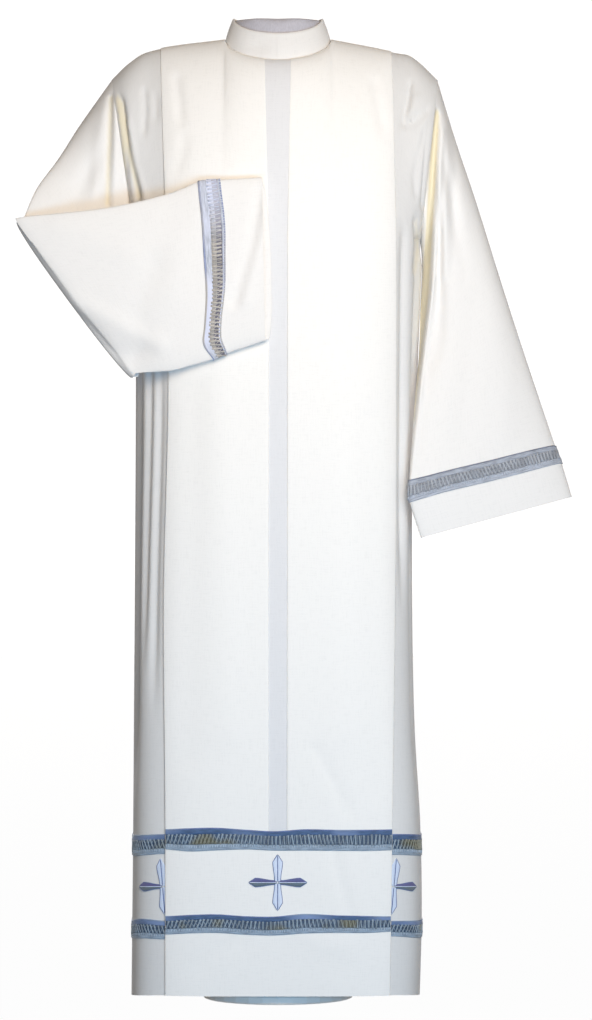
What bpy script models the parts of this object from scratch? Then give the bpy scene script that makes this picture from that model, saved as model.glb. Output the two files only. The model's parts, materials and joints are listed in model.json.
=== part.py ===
"""An alb robe on a limbless dress form.

Metres, +Z up, the front faces -Y, and the base of the form stands on Z = 0. Left and right are as
seen from the front, so left is -X.

The robe's body is one surface, described by two coordinates on each face (front or back):
  across  0 on the centre line, +-1 on the pleat's edge, +-2 on the side seam or armhole
  up     -1 on the hem, 0 on the armpit line, 1 on the shoulder seam or the collar's seam
Every panel, band and cross is a patch of that surface, moved out or in along its normal.
A sleeve is a flattened tube of rings, each one spanned from its inner edge to its outer edge.
"""

import math
from collections import namedtuple

import bmesh
import bpy
import numpy as np

OBJECT_NAME = "alb_robe"

# Cloth
WALL = 0.0015
SEAM_GAP = 0.0003
TRIM = 0.0010
COLLAR_WALL = 0.0024
FRONT = -1
BACK = 1

# Pleats: the panel's edge turns under and lies on the side piece
TURN_GAP = 0.0004
TURN_INSIDE = 0.994
PANEL_BACK = 2 * WALL + TURN_GAP
LAYER_GAP = 0.0005
SIDE_RECESS = PANEL_BACK + LAYER_GAP
STRIP_EDGE = 0.080
STRIP_TUCK = 0.200
STRIP_RECESS = WALL + SEAM_GAP

# Heights
CHEST = 1.180
HEM = 0.012
HEM_FRONT = 0.0155
HEM_SIDE = 0.009
HEM_BACK = 0.012
BORDER_SEAM = 0.255
NECK_TOP = 1.5245

# The neckline ring under the collar, and the collar's upper edge
NECK_HALF_WIDTH = 0.0825
NECK_DEPTH = {FRONT: 0.056, BACK: 0.062}
NECK_HEIGHT = {FRONT: 1.4575, BACK: 1.486}
NECK_SIDE_HEIGHT = 1.494
COLLAR_TOP_HALF_WIDTH = 0.0700
COLLAR_TOP_DEPTH = {FRONT: 0.0485, BACK: 0.0545}
COLLAR_TOP_HEIGHT = {FRONT: 1.4988, BACK: 1.5255}
COLLAR_TOP_SIDE_HEIGHT = 1.5265

# The armhole is an ellipse from the armpit up to the end of the shoulder seam
ARMHOLE_HALF_DEPTH = 0.058
SHOULDER_BEND = 1.1

# The tube below the armpits: half widths, depths and how square each section is
Section = namedtuple("Section", "height left right front back squareness")
SECTIONS = [
    Section(0.000, 0.2275, 0.2200, 0.136, 0.142, 4.4),
    Section(0.130, 0.2262, 0.2235, 0.134, 0.140, 4.3),
    Section(0.270, 0.2250, 0.2215, 0.132, 0.137, 4.1),
    Section(0.420, 0.2242, 0.2130, 0.129, 0.132, 3.8),
    Section(0.620, 0.2230, 0.2092, 0.126, 0.125, 3.4),
    Section(0.850, 0.2218, 0.2100, 0.125, 0.118, 3.1),
    Section(1.020, 0.2214, 0.2150, 0.125, 0.115, 3.0),
    Section(1.180, 0.2210, 0.2220, 0.125, 0.115, 2.9),
]

# Where the front and back panels' pleated edges hang
PleatLine = namedtuple("PleatLine", "height left right")
PLEAT_LINES = [
    PleatLine(0.000, 0.1726, 0.1721),
    PleatLine(0.300, 0.1729, 0.1767),
    PleatLine(0.620, 0.1757, 0.1813),
    PleatLine(0.960, 0.1685, 0.1828),
    PleatLine(1.180, 0.1716, 0.1828),
]

# The shoulder seam, by its across coordinate from the collar to the armhole
SeamPoint = namedtuple("SeamPoint", "across left_x left_z right_x right_z")
SHOULDER_SEAM = [
    SeamPoint(0.5, NECK_HALF_WIDTH, NECK_SIDE_HEIGHT, NECK_HALF_WIDTH, NECK_SIDE_HEIGHT),
    SeamPoint(1.0, 0.1825, 1.4805, 0.1763, 1.4755),
    SeamPoint(1.6, 0.2310, 1.4575, 0.2160, 1.4610),
    SeamPoint(2.0, 0.2590, 1.4310, 0.2490, 1.4300),
]

# Long folds: a trough has a depth below 0. half_width is in the across coordinate.
Fold = namedtuple("Fold", "face across lean top bottom half_width depth")
FOLDS = [
    Fold(FRONT, -1.13, -0.02, -0.10, -0.66, 0.055, -0.0055),
    Fold(FRONT, -1.29, -0.03, -0.06, -0.60, 0.060, -0.0060),
    Fold(FRONT, -1.60, 0.05, 0.05, -0.76, 0.120, -0.0090),
    Fold(FRONT, 1.16, 0.02, 0.10, -0.52, 0.070, -0.0060),
    Fold(FRONT, 1.62, -0.06, 0.05, -0.76, 0.120, -0.0095),
    Fold(BACK, -1.55, 0.04, 0.05, -1.30, 0.120, -0.0090),
    Fold(BACK, -1.22, 0.02, 0.25, -1.30, 0.080, -0.0050),
    Fold(BACK, 1.58, -0.05, 0.05, -1.30, 0.120, -0.0095),
    Fold(BACK, 1.20, 0.03, 0.20, -1.30, 0.080, -0.0055),
    Fold(BACK, -0.52, -0.10, 0.45, -1.30, 0.120, -0.0080),
    Fold(BACK, 0.46, 0.12, 0.40, -1.30, 0.130, -0.0085),
    Fold(BACK, 0.02, 0.06, 0.10, -1.30, 0.110, -0.0045),
]
FOLD_END = 0.16

# Ribbon-work bands above the hem, by their heights at the centre front
BAND_HEIGHTS = {"upper": (0.2394, 0.2700), "lower": (0.1109, 0.1391)}
SIDE_BAND_DROP = 0.0075
CUFF_BAND_GAP = 0.0005
COLLAR_GAP = 0.0010

# Crosses: half heights and half widths, and each arm's width at its root and at its widest
CROSS_HEIGHT = 0.1897
CROSS_HALF_HEIGHT = 0.0432
CROSS_HALF_WIDTH = 0.0453
Arm = namedtuple("Arm", "length root widest tip")
UPRIGHT_ARM = Arm(CROSS_HALF_HEIGHT, 0.0047, 0.0075, 0.0120)
LEVEL_ARM = Arm(CROSS_HALF_WIDTH, 0.0030, 0.0067, 0.0105)
CROSS_LIFT = 0.0007
SIDE_CROSS_ACROSS = 1.035
SIDE_CROSS_TUCK = 0.0018

# How finely each patch is divided. Pieces that lie on each other share their columns.
TUCK_COLUMNS = (0.90, 0.95)
PANEL_COLUMNS = (STRIP_TUCK, 0.30, 0.40, 0.50, 0.64, 0.78, *TUCK_COLUMNS)
SIDE_COLUMNS = (*TUCK_COLUMNS, 1.0, 1.1, 1.2, 1.34, 1.47, 1.62, 1.78, 2.0)
SKIRT_ROWS = 7
UPPER_ROWS = 6
RING_POINTS = 4 * UPPER_ROWS
SMALL_STEP = 0.002
ARC_STEPS = 60

# Sleeves. Each ring runs from its inner edge (underarm) to its outer edge.
Ring = namedtuple("Ring", "inner outer half_depth squareness")
HANGING_RINGS = [
    Ring((0.2270, -0.003, 1.140), (0.2778, 0.000, 1.334), 0.0550, 2.0),
    Ring((0.2235, -0.012, 1.080), (0.3084, -0.002, 1.242), 0.0480, 2.1),
    Ring((0.2200, -0.034, 1.000), (0.3450, -0.006, 1.124), 0.0400, 2.2),
    Ring((0.2120, -0.064, 0.925), (0.3800, -0.011, 1.014), 0.0315, 2.3),
    Ring((0.2020, -0.096, 0.8059), (0.4314, -0.019, 0.8594), 0.0220, 2.4),
    Ring((0.2034, -0.098, 0.7704), (0.4418, -0.021, 0.8310), 0.0200, 2.4),
    Ring((0.2204, -0.096, 0.7166), (0.4572, -0.024, 0.7799), 0.0175, 2.4),
]
HANGING_STEPS = (0, 0.5, 1, 1.5, 2, 3, 4, 5, 6, 7)
HANGING_BAND = (5, 6)

UPPER_ARM_RINGS = [
    Ring((-0.2270, -0.018, 1.138), (-0.3080, -0.008, 1.360), 0.0500, 2.0),
    Ring((-0.2300, -0.050, 1.078), (-0.3400, -0.034, 1.306), 0.0350, 2.1),
    Ring((-0.2260, -0.082, 1.022), (-0.3720, -0.074, 1.256), 0.0215, 2.2),
]
CREASE_INNER = (-0.2135, -0.1180, 0.9695)
CREASE_OUTER = (-0.3905, -0.1180, 1.2085)
CREASE_RADIUS = 0.0120
CREASE_HALF_DEPTH = 0.0085
CREASE_TURNS = (0, 45, 90, 135, 180)
FOREARM_RINGS = [
    Ring((-0.1640, -0.1345, 0.9725), (-0.2620, -0.1345, 1.2220), 0.0100, 2.3),
    Ring((-0.1310, -0.1360, 0.9808), (-0.1708, -0.1355, 1.2425), 0.0105, 2.3),
    Ring((-0.0989, -0.1375, 0.9899), (-0.1226, -0.1365, 1.2610), 0.0105, 2.3),
    Ring((-0.0775, -0.1380, 0.9990), (-0.0877, -0.1370, 1.2648), 0.0105, 2.3),
    Ring((-0.0193, -0.1400, 1.0196), (-0.0239, -0.1390, 1.2681), 0.0100, 2.3),
]
FOLDED_STEPS = (0, 0.5, 1, 1.5, 2, 3, 4, 5, 6, 7, 8, 9, 10, 11, 12, 13)
FOLDED_BAND = (11, 12)
CUFF_OVERHANG = 0.011

# Folds that run down a sleeve: layer -1 is the front of the armhole, 1 its back, and place runs
# from -1 at the inner edge to 1 at the outer edge.
SleeveFold = namedtuple("SleeveFold", "layer start_place end_place start end half_width depth")
HANGING_FOLDS = [
    SleeveFold(-1, -0.10, -0.62, 0.3, 3.6, 0.16, -0.0080),
    SleeveFold(-1, 0.45, 0.25, 0.3, 2.8, 0.18, -0.0060),
    SleeveFold(1, 0.10, -0.40, 0.3, 4.2, 0.18, -0.0080),
    SleeveFold(1, 0.55, 0.45, 0.3, 3.0, 0.16, -0.0060),
]
FOLDED_FOLDS = [
    SleeveFold(-1, -0.20, 0.05, 0.3, 3.2, 0.16, -0.0060),
    SleeveFold(-1, 0.35, 0.55, 0.3, 2.8, 0.15, -0.0050),
    SleeveFold(1, 0.10, 0.30, 0.3, 3.0, 0.18, -0.0060),
]

# The dress form
FORM_CLEARANCE = WALL + SIDE_RECESS + 0.0004
FORM_EASE = 0.010
FORM_CAP_BULGE = 0.010
FORM_CAP_TURNS = (45, 90, 135)
FormSection = namedtuple("FormSection", "height width depth")
FORM_SECTIONS = [
    FormSection(0.760, 0.64, 0.62),
    FormSection(0.785, 0.77, 0.76),
    FormSection(0.840, 0.82, 0.84),
    FormSection(0.930, 0.76, 0.78),
    FormSection(1.000, 0.74, 0.76),
    FormSection(1.090, 0.86, 0.90),
    FormSection(1.150, 0.96, 0.98),
]
FORM_COLUMNS = (0.0, 0.2, 0.4, 0.5, 0.64, 0.78, 0.90, 1.0, 1.1, 1.2, 1.45, 1.76, 2.0)
FORM_NECK_GAP = 0.0012
FORM_NECK_SCALE = 0.90
FORM_NECK_TAPER = 0.93
FORM_NECK_RINGS = (0.30, 0.65)
POLE_RADIUS = 0.016
BASE_RADIUS = 0.117
BASE_THICKNESS = 0.014
BASE_BEVEL = 0.003
SOCKET_RADIUS = 0.026
SOCKET_HEIGHT = 0.040
ROUND_SIDES = 32


def smooth(value):
    """A soft step from 0 to 1."""
    value = np.clip(value, 0.0, 1.0)
    return value * value * (3.0 - 2.0 * value)


def read_table(rows, column, at):
    """The named column at a place along the table's first column, joined by a smooth curve."""
    places = np.array([row[0] for row in rows])
    values = np.array([getattr(row, column) for row in rows])
    slopes = np.gradient(values, places)
    at = np.clip(at, places[0], places[-1])
    low = np.clip(np.searchsorted(places, at) - 1, 0, len(places) - 2)
    step = places[low + 1] - places[low]
    t = (at - places[low]) / step
    start = (1 + 2 * t) * (1 - t) ** 2 * values[low] + t * (1 - t) ** 2 * step * slopes[low]
    end = t * t * (3 - 2 * t) * values[low + 1] + t * t * (t - 1) * step * slopes[low + 1]
    return start + end


def hem_height(face, across):
    centre = HEM_FRONT if face == FRONT else HEM_BACK
    return centre + (HEM_SIDE - centre) * smooth((np.abs(across) - 1.0) / 0.8)


def up_at(height):
    """The up coordinate of a height at the centre front, below the armpit line."""
    return (height - CHEST) / (CHEST - HEM_FRONT)


def skirt_row(face, across, up):
    """Points round the tube at one level below the armpit line."""
    height = CHEST + up * (CHEST - HEM)
    depth = read_table(SECTIONS, "front" if face == FRONT else "back", height)
    squareness = read_table(SECTIONS, "squareness", height)
    points = np.zeros((len(across), 3))
    points[:, 2] = CHEST + up * (CHEST - hem_height(face, across))
    for side, name in ((-1, "left"), (1, "right")):
        mine = across < 0 if side < 0 else across >= 0
        reach = np.abs(across[mine])
        half_width = read_table(SECTIONS, name, height)
        pleat = read_table(PLEAT_LINES, name, height) / half_width
        pleat_depth = (1 - pleat**squareness) ** (1 / squareness)
        angle = np.linspace(math.atan2(pleat, pleat_depth), math.pi / 2, ARC_STEPS)
        radius = (np.sin(angle) ** squareness + np.cos(angle) ** squareness) ** (-1 / squareness)
        curve = np.stack([half_width * radius * np.sin(angle), depth * radius * np.cos(angle)], 1)
        steps = np.linalg.norm(np.diff(curve, axis=0), axis=1)
        length = np.concatenate([[0], np.cumsum(steps)])
        wanted = np.clip(reach - 1, 0, 1) * length[-1]
        flat = pleat * np.minimum(reach, 1)
        flat_depth = depth * (1 - flat**squareness) ** (1 / squareness)
        on_side = reach > 1
        round_x = np.interp(wanted, length, curve[:, 0])
        round_y = np.interp(wanted, length, curve[:, 1])
        points[mine, 0] = side * np.where(on_side, round_x, flat * half_width)
        points[mine, 1] = face * np.where(on_side, round_y, flat_depth)
    return points


def top_row(face, across):
    """Points along the collar's seam, then the shoulder seam."""
    reach = np.abs(across)
    turn = np.minimum(reach, 0.5) * math.pi
    points = np.zeros((len(across), 3))
    points[:, 0] = np.sign(across) * NECK_HALF_WIDTH * np.sin(turn)
    points[:, 1] = face * NECK_DEPTH[face] * np.cos(turn)
    points[:, 2] = NECK_SIDE_HEIGHT - (NECK_SIDE_HEIGHT - NECK_HEIGHT[face]) * np.cos(turn)
    for side, name in ((-1, "left"), (1, "right")):
        mine = (reach > 0.5) & (np.sign(across) == side)
        points[mine, 0] = side * read_table(SHOULDER_SEAM, name + "_x", reach[mine])
        points[mine, 1] = 0
        points[mine, 2] = read_table(SHOULDER_SEAM, name + "_z", reach[mine])
    return points


def base_row(face, across, up):
    """Points of the body's surface at one value of up, before its folds."""
    across = np.clip(across, -2.0, 2.0)
    if up <= 0:
        return skirt_row(face, across, up)
    angle = min(up, 1.0) * math.pi / 2
    low = skirt_row(face, across, 0.0)
    top = top_row(face, across)
    armhole = smooth(np.abs(across) - 1.0)
    rise = math.sin(angle) ** (SHOULDER_BEND + (2.0 - SHOULDER_BEND) * armhole)
    points = low + (top - low) * rise[:, None]
    points[:, 1] = top[:, 1] + (low[:, 1] - top[:, 1]) * max(math.cos(angle), 0.0) ** SHOULDER_BEND
    points[:, 1] += face * ARMHOLE_HALF_DEPTH * armhole * math.sin(2 * angle)
    return points


def fold_row(face, across, up):
    """How far the folds move the surface out at one value of up."""
    move = np.zeros(len(across))
    for fold in FOLDS:
        if fold.face != face:
            continue
        run = np.clip((fold.top - up) / (fold.top - fold.bottom), 0, 1)
        fade = smooth((fold.top - up) / FOLD_END) * smooth((up - fold.bottom) / FOLD_END)
        offset = (across - fold.across - fold.lean * run) / fold.half_width
        move += fold.depth * fade * np.exp(-(offset**2))
    return move


def body_grid(face, across, ups, gap=SEAM_GAP):
    """(points, normals) of the body's surface on a grid, folds included."""
    across = np.asarray(across, float)
    points = []
    normals = []
    for up in ups:
        row = base_row(face, across, up)
        sideways = base_row(face, across + SMALL_STEP, up) - base_row(face, across - SMALL_STEP, up)
        upward = base_row(face, across, up + SMALL_STEP) - base_row(face, across, up - SMALL_STEP)
        normal = -face * np.cross(sideways, upward)
        normal /= np.linalg.norm(normal, axis=1, keepdims=True)
        row = row + normal * fold_row(face, across, up)[:, None]
        row[:, 1] += face * gap / 2
        points.append(row)
        normals.append(normal)
    return np.array(points), np.array(normals)


def patch(face, columns, ups):
    """Outer and inner points of a patch, from columns of (across, outer lift, inner lift)."""
    columns = np.array(columns)
    points, normals = body_grid(face, columns[:, 0], ups)
    outer = points + normals * columns[None, :, 1, None]
    inner_points, inner_normals = body_grid(face, columns[:, 3], ups)
    inner = inner_points + inner_normals * columns[None, :, 2, None]
    return outer, inner


def plain(across, lift=0.0, thickness=WALL):
    return (across, lift, lift - thickness, across)


def turned_edge(side):
    """Columns that carry a panel round its pleated edge and back under itself."""
    low = -WALL - TURN_GAP
    inside = TURN_INSIDE
    turn = [
        (inside, 0.0, -WALL, inside),
        (1.0000, -0.20 * PANEL_BACK, -WALL - 0.15 * TURN_GAP, inside + 0.0012),
        (1.0030, -0.50 * PANEL_BACK, -WALL - 0.50 * TURN_GAP, inside + 0.0018),
        (1.0000, -0.80 * PANEL_BACK, -WALL - 0.85 * TURN_GAP, inside + 0.0012),
        (inside, -PANEL_BACK, low, inside),
    ]
    turn += [(across, -PANEL_BACK, low, across) for across in reversed(TUCK_COLUMNS)]
    return [(side * a, outer, inner, side * b) for a, outer, inner, b in turn]


def make_material(name, colour, roughness):
    material = bpy.data.materials.new(name)
    material.use_nodes = True
    shader = material.node_tree.nodes["Principled BSDF"]
    shader.inputs["Base Color"].default_value = (*colour, 1.0)
    shader.inputs["Roughness"].default_value = roughness
    return material


class Maker:
    """Keeps the collection and the materials, and adds each piece to them."""

    def __init__(self):
        self.collection = bpy.data.collections.new(OBJECT_NAME)
        bpy.context.scene.collection.children.link(self.collection)
        self.cloth = make_material("ivory_cloth", (0.88, 0.86, 0.82), 0.80)
        self.trim = make_material("blue_ribbon_work", (0.16, 0.22, 0.34), 0.60)
        self.stitch = make_material("cross_embroidery", (0.30, 0.34, 0.52), 0.50)
        self.form = make_material("grey_form_cover", (0.56, 0.55, 0.58), 0.85)
        self.steel = make_material("form_stand_steel", (0.70, 0.70, 0.71), 0.50)

    def add(self, name, vertices, faces, material):
        mesh = bpy.data.meshes.new(name)
        work = bmesh.new()
        made = [work.verts.new(vertex) for vertex in vertices]
        for face in faces:
            work.faces.new([made[index] for index in face])
        bmesh.ops.remove_doubles(work, verts=work.verts, dist=1e-6)
        bmesh.ops.recalc_face_normals(work, faces=work.faces)
        work.to_mesh(mesh)
        work.free()
        mesh.shade_smooth()
        mesh.set_sharp_from_angle(angle=math.radians(40))
        mesh.materials.append(material)
        made_object = bpy.data.objects.new(name, mesh)
        self.collection.objects.link(made_object)
        return made_object

    def add_wall(self, name, outer, inner, material, tube=False):
        """A closed wall between two grids of points. A tube's columns close round."""
        rows, columns = outer.shape[:2]
        count = rows * columns
        vertices = np.concatenate([outer.reshape(-1, 3), inner.reshape(-1, 3)])

        def at(layer, row, column):
            return layer * count + row * columns + column % columns

        faces = []
        spans = columns if tube else columns - 1
        for row in range(rows - 1):
            for column in range(spans):
                corners = ((row, column), (row, column + 1), (row + 1, column + 1), (row + 1, column))
                faces.append([at(0, *corner) for corner in corners])
                faces.append([at(1, *corner) for corner in reversed(corners)])
        edges = []
        for row in (0, rows - 1):
            edges += [((row, column), (row, column + 1)) for column in range(spans)]
        if not tube:
            for column in (0, columns - 1):
                edges += [((row, column), (row + 1, column)) for row in range(rows - 1)]
        for start, end in edges:
            faces.append([at(0, *start), at(1, *start), at(1, *end), at(0, *end)])
        return self.add(name, vertices, faces, material)


def rows_between(low, high, count):
    return list(np.linspace(low, high, count))


def band_ups(name, drop=0.0):
    return [up_at(height - drop) for height in BAND_HEIGHTS[name]]


def skirt_ups(drop=0.0):
    """Levels from the hem to the armpit line. Two of them are each band's edges."""
    lower = band_ups("lower", drop)
    upper = band_ups("upper", drop)
    return [-1.0, *lower, *upper, *rows_between(upper[1], 0.0, SKIRT_ROWS + 1)[1:]]


def all_ups(drop=0.0):
    return skirt_ups(drop) + rows_between(0.0, 1.0, UPPER_ROWS + 1)[1:]


def above_border():
    seam = up_at(BORDER_SEAM + SEAM_GAP / 2)
    return [seam] + [up for up in all_ups() if up > seam]


def below_border():
    seam = up_at(BORDER_SEAM - SEAM_GAP / 2)
    return [up for up in skirt_ups() if up < seam] + [seam]


def side_lift(across):
    """Side pieces lie behind the panel's edge and come out to the common surface round the side."""
    return -SIDE_RECESS * (1 - smooth((abs(across) - 1.0) / 0.40))


def side_columns(side):
    return [plain(side * across, side_lift(across)) for across in SIDE_COLUMNS]


def border_columns():
    middle = [plain(-across) for across in reversed(PANEL_COLUMNS)]
    middle += [plain(-STRIP_EDGE), plain(STRIP_EDGE)]
    middle += [plain(across) for across in PANEL_COLUMNS]
    return list(reversed(turned_edge(-1))) + middle + turned_edge(1)


def make_panels(maker):
    for side, name in ((-1, "left"), (1, "right")):
        columns = [plain(side * STRIP_EDGE)] + [plain(side * across) for across in PANEL_COLUMNS]
        outer, inner = patch(FRONT, columns + turned_edge(side), above_border())
        maker.add_wall(f"front_{name}", outer, inner, maker.cloth)
    strip_columns = (-STRIP_TUCK, -STRIP_EDGE, STRIP_EDGE, STRIP_TUCK)
    strip = [plain(across, -STRIP_RECESS) for across in strip_columns]
    maker.add_wall("front_strip", *patch(FRONT, strip, above_border()), maker.cloth)
    maker.add_wall("front_border", *patch(FRONT, border_columns(), below_border()), maker.cloth)
    maker.add_wall("back", *patch(BACK, border_columns(), all_ups()), maker.cloth)
    for side, name in ((-1, "left"), (1, "right")):
        for face, face_name in ((FRONT, "front"), (BACK, "back")):
            outer, inner = patch(face, side_columns(side), all_ups(SIDE_BAND_DROP))
            maker.add_wall(f"side_{face_name}_{name}", outer, inner, maker.cloth)


def make_hem_bands(maker):
    """Each band is a strip of the cloth's own points, moved out."""
    half = [STRIP_EDGE, *PANEL_COLUMNS, TURN_INSIDE]
    panel = [-across for across in reversed(half)] + half
    raised = SEAM_GAP + TRIM
    for level in BAND_HEIGHTS:
        ups = band_ups(level)
        columns = [plain(across, raised, TRIM) for across in panel]
        maker.add_wall(f"band_{level}_front", *patch(FRONT, columns, ups), maker.trim)
        maker.add_wall(f"band_{level}_back", *patch(BACK, columns, ups), maker.trim)
        ups = band_ups(level, SIDE_BAND_DROP)
        for side, name in ((-1, "left"), (1, "right")):
            reach = [1.008] + [across for across in SIDE_COLUMNS if across > 1.0]
            columns = [plain(side * across, side_lift(across) + raised, TRIM) for across in reach]
            front = patch(FRONT, columns, ups)
            back = patch(BACK, list(reversed(columns)), ups)
            outer, inner = (np.concatenate(pair, axis=1) for pair in zip(front, back))
            maker.add_wall(f"band_{level}_side_{name}", outer, inner, maker.trim)


def arm_width(arm, along):
    """Half the width of a cross's spear-shaped arm at a distance from the middle."""
    return np.interp(along, (arm.root, arm.length - arm.tip, arm.length), (arm.root, arm.widest, 0.0))


def arm_stations(arm, start, extra=()):
    """Distances along an arm at which it has a pair of points."""
    own = [start, (start + arm.length - arm.tip) / 2, arm.length - arm.tip]
    return sorted(own + [place for place in extra if start + 0.001 < place < arm.length - 0.002])


def cross_cells(half, bends):
    """Flat (sideways, upward) cells of a cross, or of its part on one side (-1 or 1) of a pleat."""
    level, upright = LEVEL_ARM, UPRIGHT_ARM
    edge = upright.root
    left = -edge if half <= 0 else -SIDE_CROSS_TUCK
    right = edge if half >= 0 else SIDE_CROSS_TUCK
    cells = [[(left, -level.root), (right, -level.root), (right, level.root), (left, level.root)]]
    for side in (-1, 1):
        if half in (0, side):
            stations = arm_stations(level, edge, bends)
            widths = [level.root, *(arm_width(level, place) for place in stations[1:])]
            for index in range(len(stations) - 1):
                near, far = side * stations[index], side * stations[index + 1]
                low, high = widths[index], widths[index + 1]
                cells.append([(near, -low), (far, -high), (far, high), (near, low)])
            near, low = side * stations[-1], widths[-1]
            cells.append([(near, -low), (side * level.length, 0.0), (near, low)])
        stations = arm_stations(upright, level.root)
        widths = [edge, *(arm_width(upright, place) for place in stations[1:])]
        spans = [
            (-width if half <= 0 else left, width if half >= 0 else right) for width in widths
        ]
        for index in range(len(stations) - 1):
            near, far = side * stations[index], side * stations[index + 1]
            low, high = spans[index], spans[index + 1]
            cells.append([(low[0], near), (low[1], near), (high[1], far), (high[0], far)])
        near, low = side * stations[-1], spans[-1]
        cells.append([(low[0], near), (low[1], near), (0.0, side * upright.length)])
    return cells


def add_cross(maker, name, face, across, columns, half=0, drop=0.0):
    """A cross as a slab lying on the cloth's own facets."""
    height = CROSS_HEIGHT - drop
    columns = sorted(columns)
    places = np.array([column[0] for column in columns])
    ups = [up_at(height - CROSS_HALF_HEIGHT), up_at(height + CROSS_HALF_HEIGHT)]
    grid, normals = body_grid(face, places, ups)
    grid += normals * np.array([column[1] for column in columns])[None, :, None]
    step = 0.02
    ends = base_row(face, np.array([across, across + (half or 1) * step]), ups[0])
    across_per_metre = step / np.linalg.norm(ends[1] - ends[0])

    def on_cloth(point, lift):
        share = (up_at(height + point[1]) - ups[0]) / (ups[1] - ups[0])
        rows = grid + normals * lift
        row = rows[0] * (1 - share) + rows[1] * share
        here = across + point[0] * across_per_metre
        return [np.interp(here, places, row[:, axis]) for axis in range(3)]

    bends = np.unique(np.round(np.abs(places - across) / across_per_metre, 6))
    cells = cross_cells(half, bends)
    corners = sorted({corner for cell in cells for corner in cell})
    vertices = [on_cloth(corner, lift) for lift in (CROSS_LIFT + TRIM, CROSS_LIFT) for corner in corners]
    faces = []
    edges = {}
    for cell in cells:
        cell = [corners.index(corner) for corner in cell]
        faces.append(cell)
        faces.append([len(corners) + index for index in reversed(cell)])
        for start, end in zip(cell, cell[1:] + cell[:1]):
            edges.setdefault(frozenset((start, end)), []).append((start, end))
    for uses in edges.values():
        if len(uses) == 1:
            start, end = uses[0]
            faces.append([start, end, len(corners) + end, len(corners) + start])
    maker.add(name, vertices, faces, maker.stitch)


def make_crosses(maker):
    half = (STRIP_EDGE, *PANEL_COLUMNS[:3])
    flat = [plain(side * across) for side in (-1, 1) for across in half]
    add_cross(maker, "cross_front", FRONT, 0.0, flat)
    add_cross(maker, "cross_back", BACK, 0.0, flat)
    for side, name in ((-1, "left"), (1, "right")):
        for face, face_name in ((FRONT, "front"), (BACK, "back")):
            label = f"cross_side_{face_name}_{name}"
            place = side * SIDE_CROSS_ACROSS
            add_cross(maker, label, face, place, side_columns(side), side, SIDE_BAND_DROP)


def make_collar(maker):
    turns = np.linspace(0, 2 * math.pi, 41)[:-1]

    def ring(half_width, depth, side_height, height, shrink, lift=0.0):
        points = []
        for turn in turns:
            face = FRONT if math.cos(turn) > 0 else BACK
            along = abs(math.cos(turn))
            points.append(
                (
                    (half_width - shrink) * math.sin(turn),
                    face * (depth[face] - shrink) * along,
                    side_height - (side_height - height[face]) * along + lift,
                )
            )
        return np.array(points)

    low = (NECK_HALF_WIDTH, NECK_DEPTH, NECK_SIDE_HEIGHT, NECK_HEIGHT)
    top = (COLLAR_TOP_HALF_WIDTH, COLLAR_TOP_DEPTH, COLLAR_TOP_SIDE_HEIGHT, COLLAR_TOP_HEIGHT)
    layers = []
    for shrink in (0.0, COLLAR_WALL):
        start = ring(*low, shrink, COLLAR_GAP)
        end = ring(*top, shrink)
        layers.append(np.array([start, end]))
    maker.add_wall("collar", *layers, maker.cloth, tube=True)


def armhole_ring(side):
    """The armhole as a sleeve ring, a seam's gap outside the body."""
    edge = np.array([2.0 * side])
    inner = base_row(FRONT, edge, 0.0)[0]
    outer = base_row(FRONT, edge, 1.0)[0]
    inner[1] = outer[1] = 0.0
    outward = np.cross((0.0, side, 0.0), outer - inner)
    outward *= SEAM_GAP / np.linalg.norm(outward)
    return Ring(inner + outward, outer + outward, ARMHOLE_HALF_DEPTH + SEAM_GAP, 2.0)


def frame_of(ring, depth_direction=(0.0, 1.0, 0.0)):
    """One row of numbers for a ring: its two edges, its depth vector and its squareness."""
    depth = np.array(depth_direction) * ring.half_depth
    return np.concatenate([ring.inner, ring.outer, depth, [ring.squareness]])


def crease_frames():
    """Rings that turn the folded sleeve about its crease."""
    inner = np.array(CREASE_INNER)
    outer = np.array(CREASE_OUTER)
    crease = (outer - inner) / np.linalg.norm(outer - inner)
    outward = np.cross(crease, (0.0, 1.0, 0.0))
    frames = []
    for degrees in CREASE_TURNS:
        turn = math.radians(degrees)
        radial = outward * math.sin(turn) + np.array((0.0, 1.0, 0.0)) * math.cos(turn)
        move = radial * CREASE_RADIUS
        frames.append(frame_of(Ring(inner + move, outer + move, CREASE_HALF_DEPTH, 2.3), radial))
    return frames


def sleeve_frames(side):
    if side > 0:
        return np.array([frame_of(ring) for ring in [armhole_ring(1), *HANGING_RINGS]])
    start = [frame_of(ring) for ring in [armhole_ring(-1), *UPPER_ARM_RINGS]]
    end = [frame_of(ring, (0.0, -1.0, 0.0)) for ring in FOREARM_RINGS]
    return np.array(start + crease_frames() + end)


def frame_at(frames, place):
    """The ring at a place between two rows, on a smooth curve through the rows."""
    low = min(int(place), len(frames) - 2)
    t = place - low
    before = frames[max(low - 1, 0)]
    start, end = frames[low], frames[low + 1]
    after = frames[min(low + 2, len(frames) - 1)]
    start_slope = (end - before) / 2
    end_slope = (after - start) / 2
    blend = (1 + 2 * t) * (1 - t) ** 2 * start + t * (1 - t) ** 2 * start_slope
    return blend + t * t * (3 - 2 * t) * end + t * t * (t - 1) * end_slope


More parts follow.
